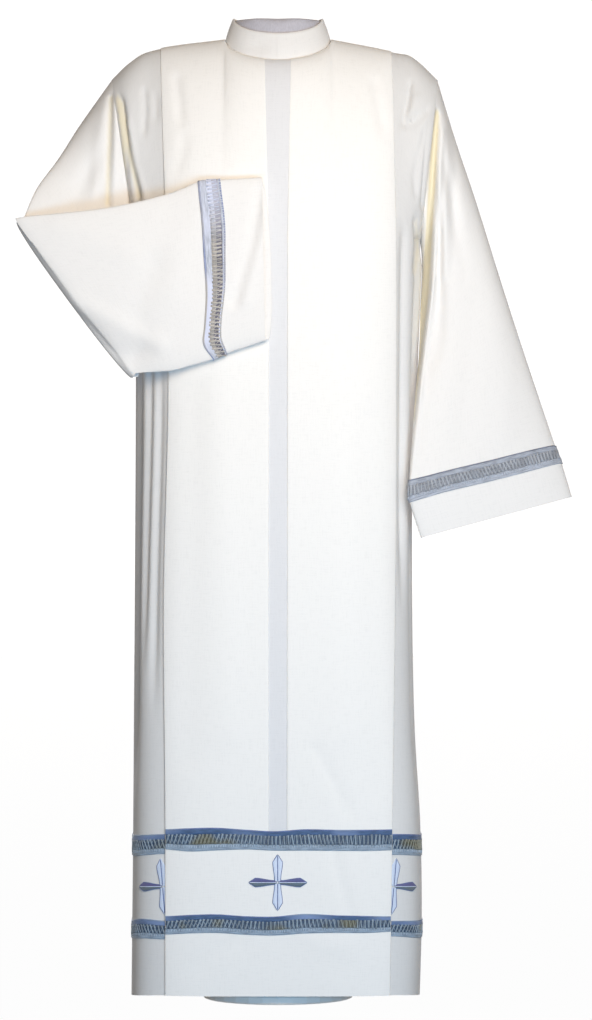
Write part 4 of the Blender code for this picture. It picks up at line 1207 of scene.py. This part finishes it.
def frame_at(frames, place):
    """The ring at a place between two rows, on a smooth curve through the rows."""
    low = min(int(place), len(frames) - 2)
    t = place - low
    before = frames[max(low - 1, 0)]
    start, end = frames[low], frames[low + 1]
    after = frames[min(low + 2, len(frames) - 1)]
    start_slope = (end - before) / 2
    end_slope = (after - start) / 2
    blend = (1 + 2 * t) * (1 - t) ** 2 * start + t * (1 - t) ** 2 * start_slope
    return blend + t * t * (3 - 2 * t) * end + t * t * (t - 1) * end_slope


class Sleeve:
    """One sleeve's tube, with its folds and creases."""

    def __init__(self, name):
        self.name = name
        self.frames = sleeve_frames(-1 if name == "left" else 1)
        self.folds = FOLDED_FOLDS if name == "left" else HANGING_FOLDS
        self.creases = SLEEVE_CREASES[name]
        self.last = len(self.frames) - 1

    def ring(self, place, shrink=0.0, turn=RING_TURNS):
        """(points, outward directions) round the tube, drawn in by shrink."""
        frame = frame_at(self.frames, place)
        inner, outer, depth, squareness = frame[0:3], frame[3:6], frame[6:9], frame[9]
        along = -np.sign(np.cos(turn)) * np.abs(np.cos(turn)) ** (2 / squareness)
        aside = np.sign(np.sin(turn)) * np.abs(np.sin(turn)) ** (2 / squareness)
        half = (outer - inner) / 2
        half_depth = np.linalg.norm(depth)
        move = np.zeros(len(turn))
        for fold in self.folds:
            run = np.clip((place - fold.start) / (fold.end - fold.start), 0, 1)
            where = fold.start_place + (fold.end_place - fold.start_place) * run
            layer = smooth(np.sin(turn) * fold.layer / LAYER_FADE)
            shape = np.exp(-(((along - where) / fold.half_width) ** 2))
            move += fold.depth * math.sin(math.pi * run) * shape * layer
        centre = (inner + outer) / 2
        cloth = centre + np.outer(along, half) + np.outer(aside, depth)
        facing = np.sign(aside) * (-depth[1] / half_depth)
        edge = smooth(np.abs(np.sin(turn)) / EDGE_FADE)
        fade = edge * smooth(place / ARMHOLE_FADE)
        for face in (FRONT, BACK):
            shown = smooth(-face * facing / FACING_FADE)
            move += crease_move(self.creases, face, cloth) * shown * fade
        length = np.linalg.norm(half)
        points = centre + np.outer(along, half * (1 - shrink / length))
        out = (half_depth - shrink) * aside + move * np.sign(aside)
        points = points + np.outer(out, depth / half_depth)
        if self.name == "right":
            points[:, 0] -= np.interp(place, *zip(*UNDERARM_INSETS)) * smooth((-along - 0.7) / 0.3)
        outward = np.outer(along, half / length * half_depth) + np.outer(aside, depth / half_depth * length)
        return points, unit(outward)

    def cuff_shift(self, points):
        """The folded sleeve's back layer reaches past its front layer at the cuff."""
        points[:, 0] += CUFF_OVERHANG * np.clip(-np.sin(RING_TURNS) + 0.3 * np.cos(RING_TURNS), 0, 1)
        return points

    def places(self):
        """Places a row height apart along the tube."""
        found = [0.0]
        for ring in range(self.last):
            start, end = self.frames[ring], self.frames[ring + 1]
            far = max(np.linalg.norm(end[0:3] - start[0:3]), np.linalg.norm(end[3:6] - start[3:6]))
            far = max(far, 0.02)
            found += list(np.linspace(ring, ring + 1, int(math.ceil(far / ROW_HEIGHT)) + 1)[1:])
        return found

    def wall(self):
        layers = []
        places = self.places()
        for shrink in (0.0, WALL):
            rings = np.array([self.ring(place, shrink)[0] for place in places])
            if self.name == "left":
                for index, place in enumerate(places):
                    share = smooth(place - (self.last - 1))
                    if share > 0:
                        rings[index] += (self.cuff_shift(rings[index].copy()) - rings[index]) * share
            layers.append(rings)
        return layers


def make_sleeves(settings):
    for name in ("left", "right"):
        # The sleeves' greyer colour is painted shade.
        piece = Piece(f"sleeve_{name}_cloth", robe_cloth(settings, "sleeve"))
        piece.wall(*Sleeve(name).wall(), tube=True)
        made = piece.finish("ivory_cloth", sharp=75)
        paint_fold_warmth(made, SLEEVE_CREASES[name], 0.85)
        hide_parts(f"sleeve_{name}")


# ---- Ribbon work ----


def wave(column, across):
    """How far a band's edge strays from its straight line, in metres."""
    return read_table(BAND_WAVES, column, across) / 1000


class Strip:
    """A ribbon on the body."""

    def __init__(self, level, face, columns, drop=0.0):
        low, high = (height - drop for height in BAND_HEIGHTS[level])
        across, self.lifts = np.array(columns)[:, :2].T
        ups = np.linspace(up_at(low - BAND_MARGIN), up_at(high + BAND_MARGIN), 8)
        self.grid, self.normals = body_grid(face, across, ups)
        # The bands behind stray as the mirror image of those in front.
        across = across if face == FRONT else -across
        span = high - low + 2 * BAND_MARGIN
        self.tops = (high + wave(f"{level}_top", across) - low + BAND_MARGIN) / span
        self.bottoms = (low + wave(f"{level}_bottom", across) - low + BAND_MARGIN) / span

    def row(self, share, lift):
        """Points and normals all along the ribbon at one share of its width from the top."""
        place = (self.tops + (self.bottoms - self.tops) * share) * (len(self.grid) - 1)
        low = np.clip(place.astype(int), 0, len(self.grid) - 2)
        t = (place - low)[:, None]
        index = np.arange(len(place))
        points = self.grid[low, index] * (1 - t) + self.grid[low + 1, index] * t
        normals = self.normals[low, index] * (1 - t) + self.normals[low + 1, index] * t
        return points + normals * (self.lifts + lift)[:, None], normals


class CuffStrip:
    """A ribbon round a sleeve, between two places along the sleeve."""

    def __init__(self, name, start, end):
        self.sleeve = Sleeve(name)
        turn = RING_TURNS
        self.places = np.linspace(start - CUFF_REACH, end + CUFF_REACH, 45)
        rings = np.array([self.sleeve.ring(place, -CUFF_BAND_GAP)[0] for place in self.places])
        steps = np.linalg.norm(np.diff(rings, axis=0), axis=2)
        # How far along the cloth each place lies, for each point of the ring
        self.lengths = np.concatenate([np.zeros((1, RING_POINTS)), np.cumsum(steps, axis=0)])
        edges = [[np.interp(place, self.places, column) for column in self.lengths.T] for place in (start, end)]
        shown = smooth(np.sin(turn) * (1 if name == "left" else -1) / 0.3)
        ripple = sum(height * np.sin(count * turn + start) for height, count, start in CUFF_RIPPLES)
        ripple = ripple * smooth(np.abs(np.sin(turn)) / 0.5)
        bows = [read_table(CUFF_BOWS[name], edge, -np.cos(turn)) / 1000 for edge in ("arm_edge", "cuff_edge")]
        self.edges = [np.array(edge) + ripple - bow * shown for edge, bow in zip(edges, bows)]

    def row(self, share, lift):
        """Points and normals all round the ribbon at one share of its width from the arm's side."""
        at = self.edges[0] + (self.edges[1] - self.edges[0]) * share
        points = np.empty((RING_POINTS, 3))
        normals = np.empty((RING_POINTS, 3))
        for index in range(RING_POINTS):
            place = np.interp(at[index], self.lengths[:, index], self.places)
            point, outward = self.sleeve.ring(place, -CUFF_BAND_GAP - lift, RING_TURNS[index : index + 1])
            points[index], normals[index] = point[0], outward[0]
        return points, normals


def make_ribbon(name, strips, settings, kind="hem", tube=False):
    """One ribbon with its ladder of thread bars and its row of stitches. strips join end to end."""
    materials = ribbon_materials(settings, kind)
    profile = FOLDED_RIBBON_PROFILE if kind == "left cuff" else RIBBON_PROFILE

    def row(share, lift):
        parts = [strip.row(share, lift) for strip in strips]
        return tuple(np.concatenate([part[index] for part in parts]) for index in (0, 1))

    outer = np.array([row(zone.share, zone.lift / 1000)[0] for zone in profile])
    inner = np.array([row(zone.share, SEWN_GAP)[0] for zone in profile])
    piece = Piece(f"ribbon_{name}", *materials)
    piece.wall(outer, inner, tube, [RIBBON_FINISHES.index(zone.finish) for zone in profile])
    ribbon = piece.finish("blue_ribbon_work")
    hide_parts(f"band_{name}")

    sunk = [zone.share for zone in profile if zone.lift < SUNK_LIFT and 0 < zone.share < 1]
    top, top_normals = row(sunk[0], LADDER_LIFT)
    low, _ = row(sunk[-1], LADDER_LIFT)
    middle = (top + low) / 2
    if tube:
        joined = (top, low, middle, top_normals)
        top, low, middle, top_normals = (np.concatenate([each, each[:1]]) for each in joined)
    length = run_length(middle)

    def read(values, at):
        return np.stack([np.interp(at, length, values[:, axis]) for axis in range(3)], 1)

    def bars(part, pitch, start, end, material, sizes, lean, lift, shift=0.0):
        """Bars from one share of the ladder's width to another, leaning along the ribbon."""
        count = int(length[-1] / pitch)
        step = length[-1] / count
        at = (np.arange(count) + 0.5 + shift) * step
        # The loops lean now one way and now the other, and stand a little unevenly.
        at += UNEVEN_SHARE * step * np.sin(at * UNEVEN_RATE)
        slant = lean * (MEAN_LEAN + np.sin(at * LEAN_RATE + 0.6) + SHAKE_SHARE * np.sin(at * SHAKE_RATE))
        high = read(top, at + slant / 2)
        deep = read(low, at - slant / 2)
        normals = read(top_normals, at)
        first = high + (deep - high) * start
        last = high + (deep - high) * end
        values = dict(sizes, Length=float(np.linalg.norm(last - first, axis=1).mean()))
        places = (first + last) / 2 + normals * lift
        thread_bars(f"{part}_{name}", places, last - first, normals, values, material)

    share = ladder_share(kind)
    loops = thread_finish(f"{kind} ladder loops", settings.loop, settings.dim_loop, share)
    stitches = thread_finish(f"{kind} stitches", settings.stitch, settings.stitch, share)
    bars("ladder", LOOP_PITCH, -0.04, 1.04, loops, LOOP_SIZES, 0.0042, 0.0002)
    bars("crossings", LOOP_PITCH, 0.02, 0.98, loops, CROSSING_SIZES, -0.0046, -0.0001, 0.46)
    bars("stitches", STITCH_PITCH, 1.08, 1.36, stitches, STITCH_SIZES, 0.0008, 0.0004)


def make_hem_bands(settings):
    front = [plain(across) for across in spaced(-TURN_INSIDE, TURN_INSIDE, BAND_STEP)]
    for level in BAND_HEIGHTS:
        for face, face_name in FACES:
            make_ribbon(f"{level}_{face_name}", [Strip(level, face, front)], settings)
        for side, name in SIDES:
            reach = [plain(side * across, side_lift(across)) for across in spaced(1.008, 2.0, BAND_STEP)]
            strips = [
                Strip(level, FRONT, reach, SIDE_BAND_DROP),
                Strip(level, BACK, list(reversed(reach)), SIDE_BAND_DROP),
            ]
            make_ribbon(f"{level}_side_{name}", strips, settings)


def make_cuff_bands(left, right):
    for name, start, settings in (("right", 5.0, right), ("left", 11.0, left)):
        strip = CuffStrip(name, start, start + 1.0)
        make_ribbon(f"cuff_{name}", [strip], settings, f"{name} cuff", tube=True)


# ---- Crosses ----


class CrossGround:
    """The cloth round a cross: flat places in metres to points on the cloth."""

    def __init__(self, face, across, columns, height, way):
        self.places = np.array([column[0] for column in columns])
        ups = np.linspace(up_at(height - CROSS_REACH), up_at(height + CROSS_REACH), 15)
        self.points, self.normals = body_grid(face, self.places, ups)
        self.lifts = np.array([column[1] for column in columns])
        step = 0.02 * way
        ends = base_row(face, np.array([across, across + step]), ups[len(ups) // 2])
        self.scale = abs(step) / np.linalg.norm(ends[1] - ends[0])
        self.across = across

    def at(self, sideways, upward, lift):
        """(point, normal) above the cloth."""
        here = self.across + sideways * self.scale
        rows = len(self.points)
        place = np.clip((upward + CROSS_REACH) / (2 * CROSS_REACH), 0, 1) * (rows - 1)
        low = min(int(place), rows - 2)
        share = place - low
        row = self.points[low] * (1 - share) + self.points[low + 1] * share
        normal_row = self.normals[low] * (1 - share) + self.normals[low + 1] * share
        point = np.array([np.interp(here, self.places, row[:, axis]) for axis in range(3)])
        normal = np.array([np.interp(here, self.places, normal_row[:, axis]) for axis in range(3)])
        return point + normal * (np.interp(here, self.places, self.lifts) + lift), normal


def arm_width(arm, along):
    """Half the width of a cross's spear-shaped arm at a distance from the middle."""
    bend = arm.length - arm.tip
    root_part = arm.root + (arm.widest - arm.root) * smooth((along - ARM_ROOT_END) / (bend - ARM_ROOT_END))
    return root_part if along <= bend else arm.widest * (arm.length - along) / arm.tip


def make_cross(name, ground, half, settings):
    """Satin-stitched arms, each in two halves beside a centre cord, inside a thin cord outline."""
    finishes = cross_materials(settings)
    piece = Piece(name, *finishes)
    upper_dark, lower_dark, pale, outline = range(4)

    def place(arm_way, aside_way, along, aside, lift):
        flat = np.array(arm_way) * along + np.array(aside_way) * aside
        if half and arm_way[0] == 0:
            # The upright arms of a side cross lean out at the top; the pleat hides what goes under it.
            reach = flat[0] * half + SIDE_CROSS_LEAN * flat[1]
            flat[0] = half * max(reach, -SIDE_CROSS_SHOWN)
        return ground.at(flat[0], flat[1], lift)

    arms = []
    for way in (-1, 1):
        arms.append((UPRIGHT_ARM, (0, way), (1, 0), (pale, pale)))
        if half in (0, way):
            arms.append((LEVEL_ARM, (way, 0), (0, 1), (lower_dark, upper_dark)))
    for arm, arm_way, aside_way, colours in arms:
        bend = arm.length - arm.tip
        tip = np.linspace(bend, arm.length - SEWN_GAP, 8)[1:]
        stations = np.concatenate([np.linspace(0.0010, bend, 12), tip])
        for side, colour in zip((-1, 1), colours):
            tucked = half and arm_way[0] == 0 and side != half
            outer, inner = [], []
            for along in stations:
                width = arm_width(arm, along)
                above, below = [], []
                for share in np.linspace(0.0, 1.0, 6):
                    puff = STITCH_LIFT + STITCH_PUFF * math.sin(math.pi * (0.12 + 0.80 * share)) ** 0.7
                    aside = side * (SEWN_GAP + (width - SEWN_GAP) * share)
                    above.append(place(arm_way, aside_way, along, aside, puff)[0])
                    below.append(place(arm_way, aside_way, along, aside, SEWN_GAP)[0])
                outer.append(above)
                inner.append(below)
            piece.wall(np.array(outer), np.array(inner), finishes=[colour] * len(stations))
            if tucked:
                continue
            rim = [place(arm_way, aside_way, along, side * arm_width(arm, along), OUTLINE_LIFT) for along in stations]
            path, normals = zip(*rim)
            piece.tube(path, normals, settings.outline_width / 2, outline, sides=6)
        spine = [place(arm_way, aside_way, along, 0.0, SPINE_LIFT) for along in stations[:-1]]
        path, normals = zip(*spine)
        colour = outline if arm is UPRIGHT_ARM else pale
        piece.tube(path, normals, settings.outline_width * 0.55, colour, sides=6)
    made = piece.finish("cross_embroidery", sharp=60)
    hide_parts(name.replace("_stitched", ""))


def make_crosses(settings):
    flat = [plain(across) for across in spaced(-0.36, 0.36, BAND_STEP)]
    for face, name in FACES:
        make_cross(f"cross_{name}_stitched", CrossGround(face, 0.0, flat, CROSS_HEIGHT, 1), 0, settings)
    for side, name in SIDES:
        reach = [plain(side * across, side_lift(across)) for across in spaced(1.0, 1.6, BAND_STEP)]
        columns = sorted(reach)
        for face, face_name in FACES:
            label = f"cross_side_{face_name}_{name}_stitched"
            place = side * SIDE_CROSS_ACROSS
            ground = CrossGround(face, place, columns, CROSS_HEIGHT - SIDE_BAND_DROP, side)
            make_cross(label, ground, side, settings)


# ---- How each piece of cloth was cut ----


# The size of each piece's cut with its turned edges, what it rests on, and what is sewn on it
CUTS = table(
    "node width length area held rests_on bands crosses",
    ("front_left", 0.190, 1.272, 0.228, "hung", "form_torso", "", ""),
    ("front_right", 0.200, 1.272, 0.241, "hung", "form_torso", "", ""),
    ("front_strip", 0.084, 1.217, 0.092, "hung", "form_torso", "", ""),
    ("front_border", 0.392, 0.240, 0.0932, "hung", "front_left_cloth", "upper_front lower_front", "front"),
    ("back", 0.413, 1.485, 0.604, "hung", "form_torso", "upper_back lower_back", "back"),
    (
        "side_front_left", 0.145, 1.484, 0.207, "hung", "form_torso",
        "upper_side_left lower_side_left", "side_front_left",
    ),
    (
        "side_front_right", 0.130, 1.484, 0.187, "hung", "form_torso",
        "upper_side_right lower_side_right", "side_front_right",
    ),
    ("side_back_left", 0.145, 1.484, 0.204, "hung", "form_torso", "", "side_back_left"),
    ("side_back_right", 0.130, 1.484, 0.186, "hung", "form_torso", "", "side_back_right"),
    ("collar", 0.440, 0.046, 0.0186, "hung", "form_torso", "", ""),
    ("sleeve_left", 0.600, 0.700, 0.287, "folded", "front_left_cloth", "cuff_left", ""),
    ("sleeve_right", 0.545, 0.690, 0.235, "hung", "side_front_right_cloth", "cuff_right", ""),
)


def declare_cuts():
    """Looks up the ribbons, ladders, stitches and crosses sewn on each piece of cloth; nothing is done with them."""
    objects = bpy.data.objects
    for cut in CUTS:
        parts = ("ribbon", "ladder", "crossings", "stitches")
        sewn = [objects[f"{part}_{band}"] for band in cut.bands.split() for part in parts]
        sewn += [objects[f"cross_{cross}_stitched"] for cross in cut.crosses.split()]


# ---- Dress form ----


def add_grain(tree, shader, scale, detail, strength, depth):
    """A fine unevenness in the light, such as the peel of a coat of paint."""
    place = object_place(tree)
    grain = add_node(tree, "ShaderNodeTexNoise", {"Scale": scale, "Detail": detail, "Vector": place})
    bump = add_node(tree, "ShaderNodeBump", {"Strength": strength, "Distance": depth, "Height": grain})
    set_node(tree, shader, {"Normal": bump})


def make_form(settings):
    """The form's jersey cover, drawn over its torso and neck, and its painted stand."""
    # Cotton jersey is matt with a soft bloom, and its wales show as fine upright lines.
    finish = {"Roughness": 0.88, "Sheen_Weight": 0.3, "Specular_IOR_Level": 0.2}
    material, tree, shader = new_material("grey cotton jersey", settings.cover, **finish)
    place = object_place(tree)
    # Jersey wales 0.8 mm apart, drawn at 1.6 mm so that they show.
    stretched = add_node(tree, "ShaderNodeMapping", {"Scale": (1, 1, 0.25), "Vector": place})
    wales = add_node(tree, "ShaderNodeTexNoise", {"Scale": 620.0, "Detail": 2.0, "Vector": stretched})
    stops = ((0.30, darker(settings.cover, 0.86)), (0.70, settings.cover))
    ramp = add_node(tree, "ShaderNodeValToRGB", {"Fac": wales, "stops": stops})
    bump = add_node(tree, "ShaderNodeBump", {"Strength": 0.4, "Distance": 0.0004, "Height": wales})
    set_node(tree, shader, {"Base Color": ramp, "Normal": bump})

    source = bpy.data.objects["form_torso"]
    mesh = source.data.copy()
    mesh.transform(source.matrix_world)
    work = bmesh.new()
    work.from_mesh(mesh)
    bmesh.ops.remove_doubles(work, verts=work.verts, dist=1e-5)
    bmesh.ops.join_triangles(
        work, faces=work.faces, angle_face_threshold=math.radians(30), angle_shape_threshold=math.radians(50)
    )
    bmesh.ops.recalc_face_normals(work, faces=work.faces)
    work.to_mesh(mesh)
    work.free()
    mesh.materials.clear()
    mesh.materials.append(material)
    mesh.shade_smooth()
    cover = link_object("form_cover", mesh)
    rounding = cover.modifiers.new("rounding", "SUBSURF")
    rounding.levels = rounding.render_levels = 2
    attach(cover, "root")
    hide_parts("form_torso")

    # Powder coat is satin with a fine peel in its light.
    steel, tree, shader = new_material("pale powder coat on steel", settings.steel, Roughness=0.5, Metallic=0.0)
    add_grain(tree, shader, 900.0, 2.0, 0.25, 0.0002)
    for name in ("form_pole", "form_socket", "form_base"):
        for slot in bpy.data.objects[name].material_slots:
            slot.material = steel


# ---- Stage ----


def make_stage(settings):
    """A round pale floor that sweeps up into a backdrop all round, soft lights and the camera."""
    # Dead matt paper, lit until it is almost white
    glow = {"Emission_Color": (*settings.backdrop, 1.0), "Emission_Strength": settings.backdrop_glow}
    paper, tree, shader = new_material("pale paper backdrop", settings.backdrop, Roughness=0.95, **glow)
    add_grain(tree, shader, 90.0, 3.0, 0.05, 0.0005)
    bend = BACKDROP_BEND
    floor = BACKDROP_RADIUS - bend
    profile = [(floor, 0.0)]
    for turn in np.linspace(0, math.pi / 2, 14)[1:]:
        profile.append((floor + bend * math.sin(turn), bend - bend * math.cos(turn)))
    profile.append((BACKDROP_RADIUS, BACKDROP_HEIGHT))
    sides = BACKDROP_SIDES
    turns = np.arange(sides) * 2 * math.pi / sides
    vertices = [(reach * math.cos(turn), reach * math.sin(turn), z) for reach, z in profile for turn in turns]
    faces = [tuple(range(sides))]
    for row in range(0, len(vertices) - sides, sides):
        for index in range(sides):
            after = (index + 1) % sides
            faces.append((row + index, row + after, row + sides + after, row + sides + index))
    mesh = bpy.data.meshes.new("backdrop")
    mesh.from_pydata(vertices, [], faces)
    mesh.materials.append(paper)
    mesh.shade_smooth()
    backdrop = link_object("backdrop", mesh)
    # The paper is far brighter than the robe's own light, so its glow is kept off the cloth.
    backdrop.visible_diffuse = False

    world = bpy.data.worlds.new("studio")
    bpy.context.scene.world = world
    world.use_nodes = True
    sky = {"Color": (*settings.sky, 1), "Strength": settings.sky_strength}
    set_node(world.node_tree, world.node_tree.nodes["Background"], sky)

    for name, place, target, size, power, colour in (
        ("key", (0.9, -2.6, 2.2), (0.0, 0.0, 1.20), (1.4, 1.4), settings.key, "E7F3FF"),
        ("front", (0.3, -2.2, 1.5), (0.0, 0.0, 1.15), (0.9, 0.9), settings.front, "FFE9CE"),
        ("low", (0.4, -3.2, 0.30), (0.0, 0.0, 0.2), (2.6, 0.6), settings.low, "99D1FF"),
        ("back", (-0.4, 3.2, 1.7), (0.0, 0.0, 0.85), (2.4, 1.8), settings.back, "F1F4FF"),
    ):
        light = bpy.data.lights.new(name, "AREA")
        light.shape = "RECTANGLE"
        light.size, light.size_y = size
        light.energy = power
        light.color = linear(colour)
        lamp = link_object(name, light)
        lamp.location = place
        x, y, z = np.array(target) - np.array(place)
        lamp.rotation_euler = (math.atan2(math.hypot(x, y), -z), 0.0, math.atan2(-x, y))
        lamp.visible_camera = False

    lens = bpy.data.cameras.new("camera")
    lens.lens = lens.sensor_width * CAMERA_DISTANCE / VIEW_HEIGHT
    lens.clip_start = 0.5
    lens.clip_end = 40.0
    camera = link_object("camera", lens)
    camera.location = (VIEW_CENTRE[0], -CAMERA_DISTANCE, VIEW_CENTRE[1])
    camera.rotation_euler = (math.pi / 2, 0.0, 0.0)
    bpy.context.scene.camera = camera
    bpy.context.scene.view_settings.view_transform = "Standard"


# ---- Settings, operators and panel ----


def colour_setting(name, description, hex_colour):
    return bpy.props.FloatVectorProperty(
        name=name, description=description, subtype="COLOR", size=3, min=0.0, max=1.0, default=linear(hex_colour)
    )


def length_setting(name, description, metres, low, high):
    return bpy.props.FloatProperty(
        name=name, description=description, unit="LENGTH", precision=4, default=metres, min=low, max=high
    )


def strength_setting(name, description, default):
    return bpy.props.FloatProperty(name=name, description=description, default=default, min=0.0)


class AlbClothSettings(bpy.types.PropertyGroup):
    ivory: colour_setting("Cloth", "Colour of the robe's cloth", "F3EFE9")
    strip: colour_setting("Centre strip", "Colour of the recessed strip's cloth", "E1DFDE")
    # Painted shade: the side pieces, the collar and the sleeves take greyer colours than the ivory.
    side: colour_setting("Side pieces", "Colour of the side pieces' cloth", "DDDAD6")
    collar: colour_setting("Collar", "Colour of the stiffened collar's cloth", "E5E1DC")
    sleeve: colour_setting("Sleeves", "Colour of the sleeves' cloth", "ECE8E3")
    # Painted warm shade: the colour of the cloth deep in a crease, for light bounced between its sides.
    fold: colour_setting("Folds", "Colour of the cloth deep in a fold, where its own sides warm the light", "E0D3B0")
    weave_pitch: length_setting("Weave pitch", "Distance between the twill's lines as drawn", 0.0016, 0.0004, 0.01)


# The parts of a ribbon that have a colour of their own
RIBBON_PARTS = {
    "cord": "Cords along the ribbon's edges",
    "satin": "Satin beside the ladder",
    # Painted sheen: the paler colour of the satin's lighter streaks.
    "sheen": "Satin where it is paler",
    "ground": "Ground between the ladder's loops",
    "patch": "Ground where its threads change colour",
    "pale": "Paler satin on the ladder's other side",
    "loop": "Loops that cross the ladder",
    "dim_loop": "Loops where the ground changes colour",
    "stitch": "Short stitches beside the ladder",
}


def ribbon_settings(name, colours):
    """A property group with one colour for each part of a ribbon, in the order of the parts."""
    settings = {
        part: colour_setting(part.replace("_", " ").capitalize(), text, colour)
        for (part, text), colour in zip(RIBBON_PARTS.items(), colours.split())
    }
    return type(name, (bpy.types.PropertyGroup,), {"__annotations__": settings})


AlbHemRibbonSettings = ribbon_settings(
    "AlbHemRibbonSettings", "6E82B1 49658D 7F93B9 3A5069 4E4D3E 99ABBD 8A9AA8 7F8070 A9B8C6"
)
AlbLeftCuffRibbonSettings = ribbon_settings(
    "AlbLeftCuffRibbonSettings", "9FA8C9 D0D4E0 D6D8E8 787581 B8B6C2 B3ADA7 C6BEB4 C4C8D8 C8CAD2"
)
AlbRightCuffRibbonSettings = ribbon_settings(
    "AlbRightCuffRibbonSettings", "8A90A0 B2B7C2 BFC3CE 94979E 948E8A BDC2CD ABAEB4 A5A09B B8BEC8"
)


class AlbCrossSettings(bpy.types.PropertyGroup):
    upper: colour_setting("Upper halves", "Colour of the upper halves of the level arms", "4A4A82")
    lower: colour_setting("Lower halves", "Colour of the lower halves of the level arms", "50616C")
    pale: colour_setting("Upright arms", "Colour of the upright arms", "D7E2F5")
    outline: colour_setting("Outline", "Colour of the cords round the arms", "53659A")
    outline_width: length_setting("Outline width", "Width of the outline cords", 0.0012, 0.0004, 0.004)


class AlbFormSettings(bpy.types.PropertyGroup):
    cover: colour_setting("Cover", "Colour of the dress form's jersey", "C0BCC2")
    steel: colour_setting("Stand", "Colour of the stand's powder coat", "F4F0E8")


class AlbStageSettings(bpy.types.PropertyGroup):
    backdrop: colour_setting("Backdrop", "Colour of the floor and backdrop", "FEFEFE")
    sky: colour_setting("Surround", "Colour of the light from all round", "FFEDD9")
    sky_strength: strength_setting("Surround strength", "Strength of the light from all round", 0.15)
    key: strength_setting("Key light", "Power of the key light in watts", 27.0)
    front: strength_setting("Front light", "Power of the warm front light in watts", 31.0)
    low: strength_setting("Low light", "Power of the low cool light in watts", 53.0)
    back: strength_setting("Back light", "Power of the light behind in watts", 120.0)
    backdrop_glow: strength_setting("Backdrop glow", "Light that the backdrop gives off, as a lit paper does", 0.99)


class ALB_OT_body(bpy.types.Operator):
    """Build the robe's front, back and side panels with their pleats, folds and creases"""

    bl_idname = "alb.body"
    bl_label = "Body"

    def execute(self, context):
        make_body(context.scene.alb_cloth)
        return {"FINISHED"}


class ALB_OT_collar(bpy.types.Operator):
    """Build the stand collar"""

    bl_idname = "alb.collar"
    bl_label = "Collar"

    def execute(self, context):
        make_collar(context.scene.alb_cloth)
        return {"FINISHED"}


class ALB_OT_sleeves(bpy.types.Operator):
    """Build the hanging sleeve and the sleeve that is folded over the chest"""

    bl_idname = "alb.sleeves"
    bl_label = "Sleeves"

    def execute(self, context):
        make_sleeves(context.scene.alb_cloth)
        return {"FINISHED"}


class ALB_OT_hem_bands(bpy.types.Operator):
    """Build the openwork ribbons above the hem, with their ladders and stitches"""

    bl_idname = "alb.hem_bands"
    bl_label = "Hem bands"

    def execute(self, context):
        make_hem_bands(context.scene.alb_hem_ribbon)
        return {"FINISHED"}


class ALB_OT_cuff_bands(bpy.types.Operator):
    """Build the openwork ribbons round the cuffs"""

    bl_idname = "alb.cuff_bands"
    bl_label = "Cuff bands"

    def execute(self, context):
        make_cuff_bands(context.scene.alb_left_cuff, context.scene.alb_right_cuff)
        return {"FINISHED"}


class ALB_OT_crosses(bpy.types.Operator):
    """Build the embroidered crosses between the hem bands"""

    bl_idname = "alb.crosses"
    bl_label = "Crosses"

    def execute(self, context):
        make_crosses(context.scene.alb_cross)
        return {"FINISHED"}


class ALB_OT_form(bpy.types.Operator):
    """Cover the dress form and paint its stand"""

    bl_idname = "alb.form"
    bl_label = "Dress form"

    def execute(self, context):
        make_form(context.scene.alb_form)
        return {"FINISHED"}


class ALB_OT_cuts(bpy.types.Operator):
    """Look up the work sewn on each piece of cloth"""

    bl_idname = "alb.cuts"
    bl_label = "Cloth cuts"

    def execute(self, context):
        declare_cuts()
        return {"FINISHED"}


class ALB_OT_stage(bpy.types.Operator):
    """Set up the backdrop, the lights and the camera"""

    bl_idname = "alb.stage"
    bl_label = "Stage"

    def execute(self, context):
        make_stage(context.scene.alb_stage)
        return {"FINISHED"}


OPERATORS = (
    ALB_OT_stage,
    ALB_OT_body,
    ALB_OT_collar,
    ALB_OT_sleeves,
    ALB_OT_hem_bands,
    ALB_OT_cuff_bands,
    ALB_OT_crosses,
    ALB_OT_form,
    ALB_OT_cuts,
)
SETTINGS = {
    "alb_cloth": AlbClothSettings,
    "alb_hem_ribbon": AlbHemRibbonSettings,
    "alb_left_cuff": AlbLeftCuffRibbonSettings,
    "alb_right_cuff": AlbRightCuffRibbonSettings,
    "alb_cross": AlbCrossSettings,
    "alb_form": AlbFormSettings,
    "alb_stage": AlbStageSettings,
}


class ALB_PT_panel(bpy.types.Panel):
    """Lists the robe's settings and the buttons that build its pieces"""

    bl_idname = "ALB_PT_panel"
    bl_label = "Alb Robe"
    bl_space_type = "VIEW_3D"
    bl_region_type = "UI"
    bl_category = "Alb Robe"

    def draw(self, context):
        for name, kind in SETTINGS.items():
            box = self.layout.box()
            box.label(text=kind.__name__[3:].replace("Settings", ""))
            for setting in kind.__annotations__:
                box.prop(getattr(context.scene, name), setting)
        for operator in OPERATORS:
            self.layout.operator(operator.bl_idname)


def register():
    for kind in (*SETTINGS.values(), *OPERATORS, ALB_PT_panel):
        bpy.utils.register_class(kind)
    for name, kind in SETTINGS.items():
        setattr(bpy.types.Scene, name, bpy.props.PointerProperty(type=kind))


def unregister():
    for name in SETTINGS:
        delattr(bpy.types.Scene, name)
    for kind in reversed((*SETTINGS.values(), *OPERATORS, ALB_PT_panel)):
        bpy.utils.unregister_class(kind)


def main():
    register()
    for operator in OPERATORS:
        group, name = operator.bl_idname.split(".")
        getattr(getattr(bpy.ops, group), name)()


if __name__ == "__main__":
    main()
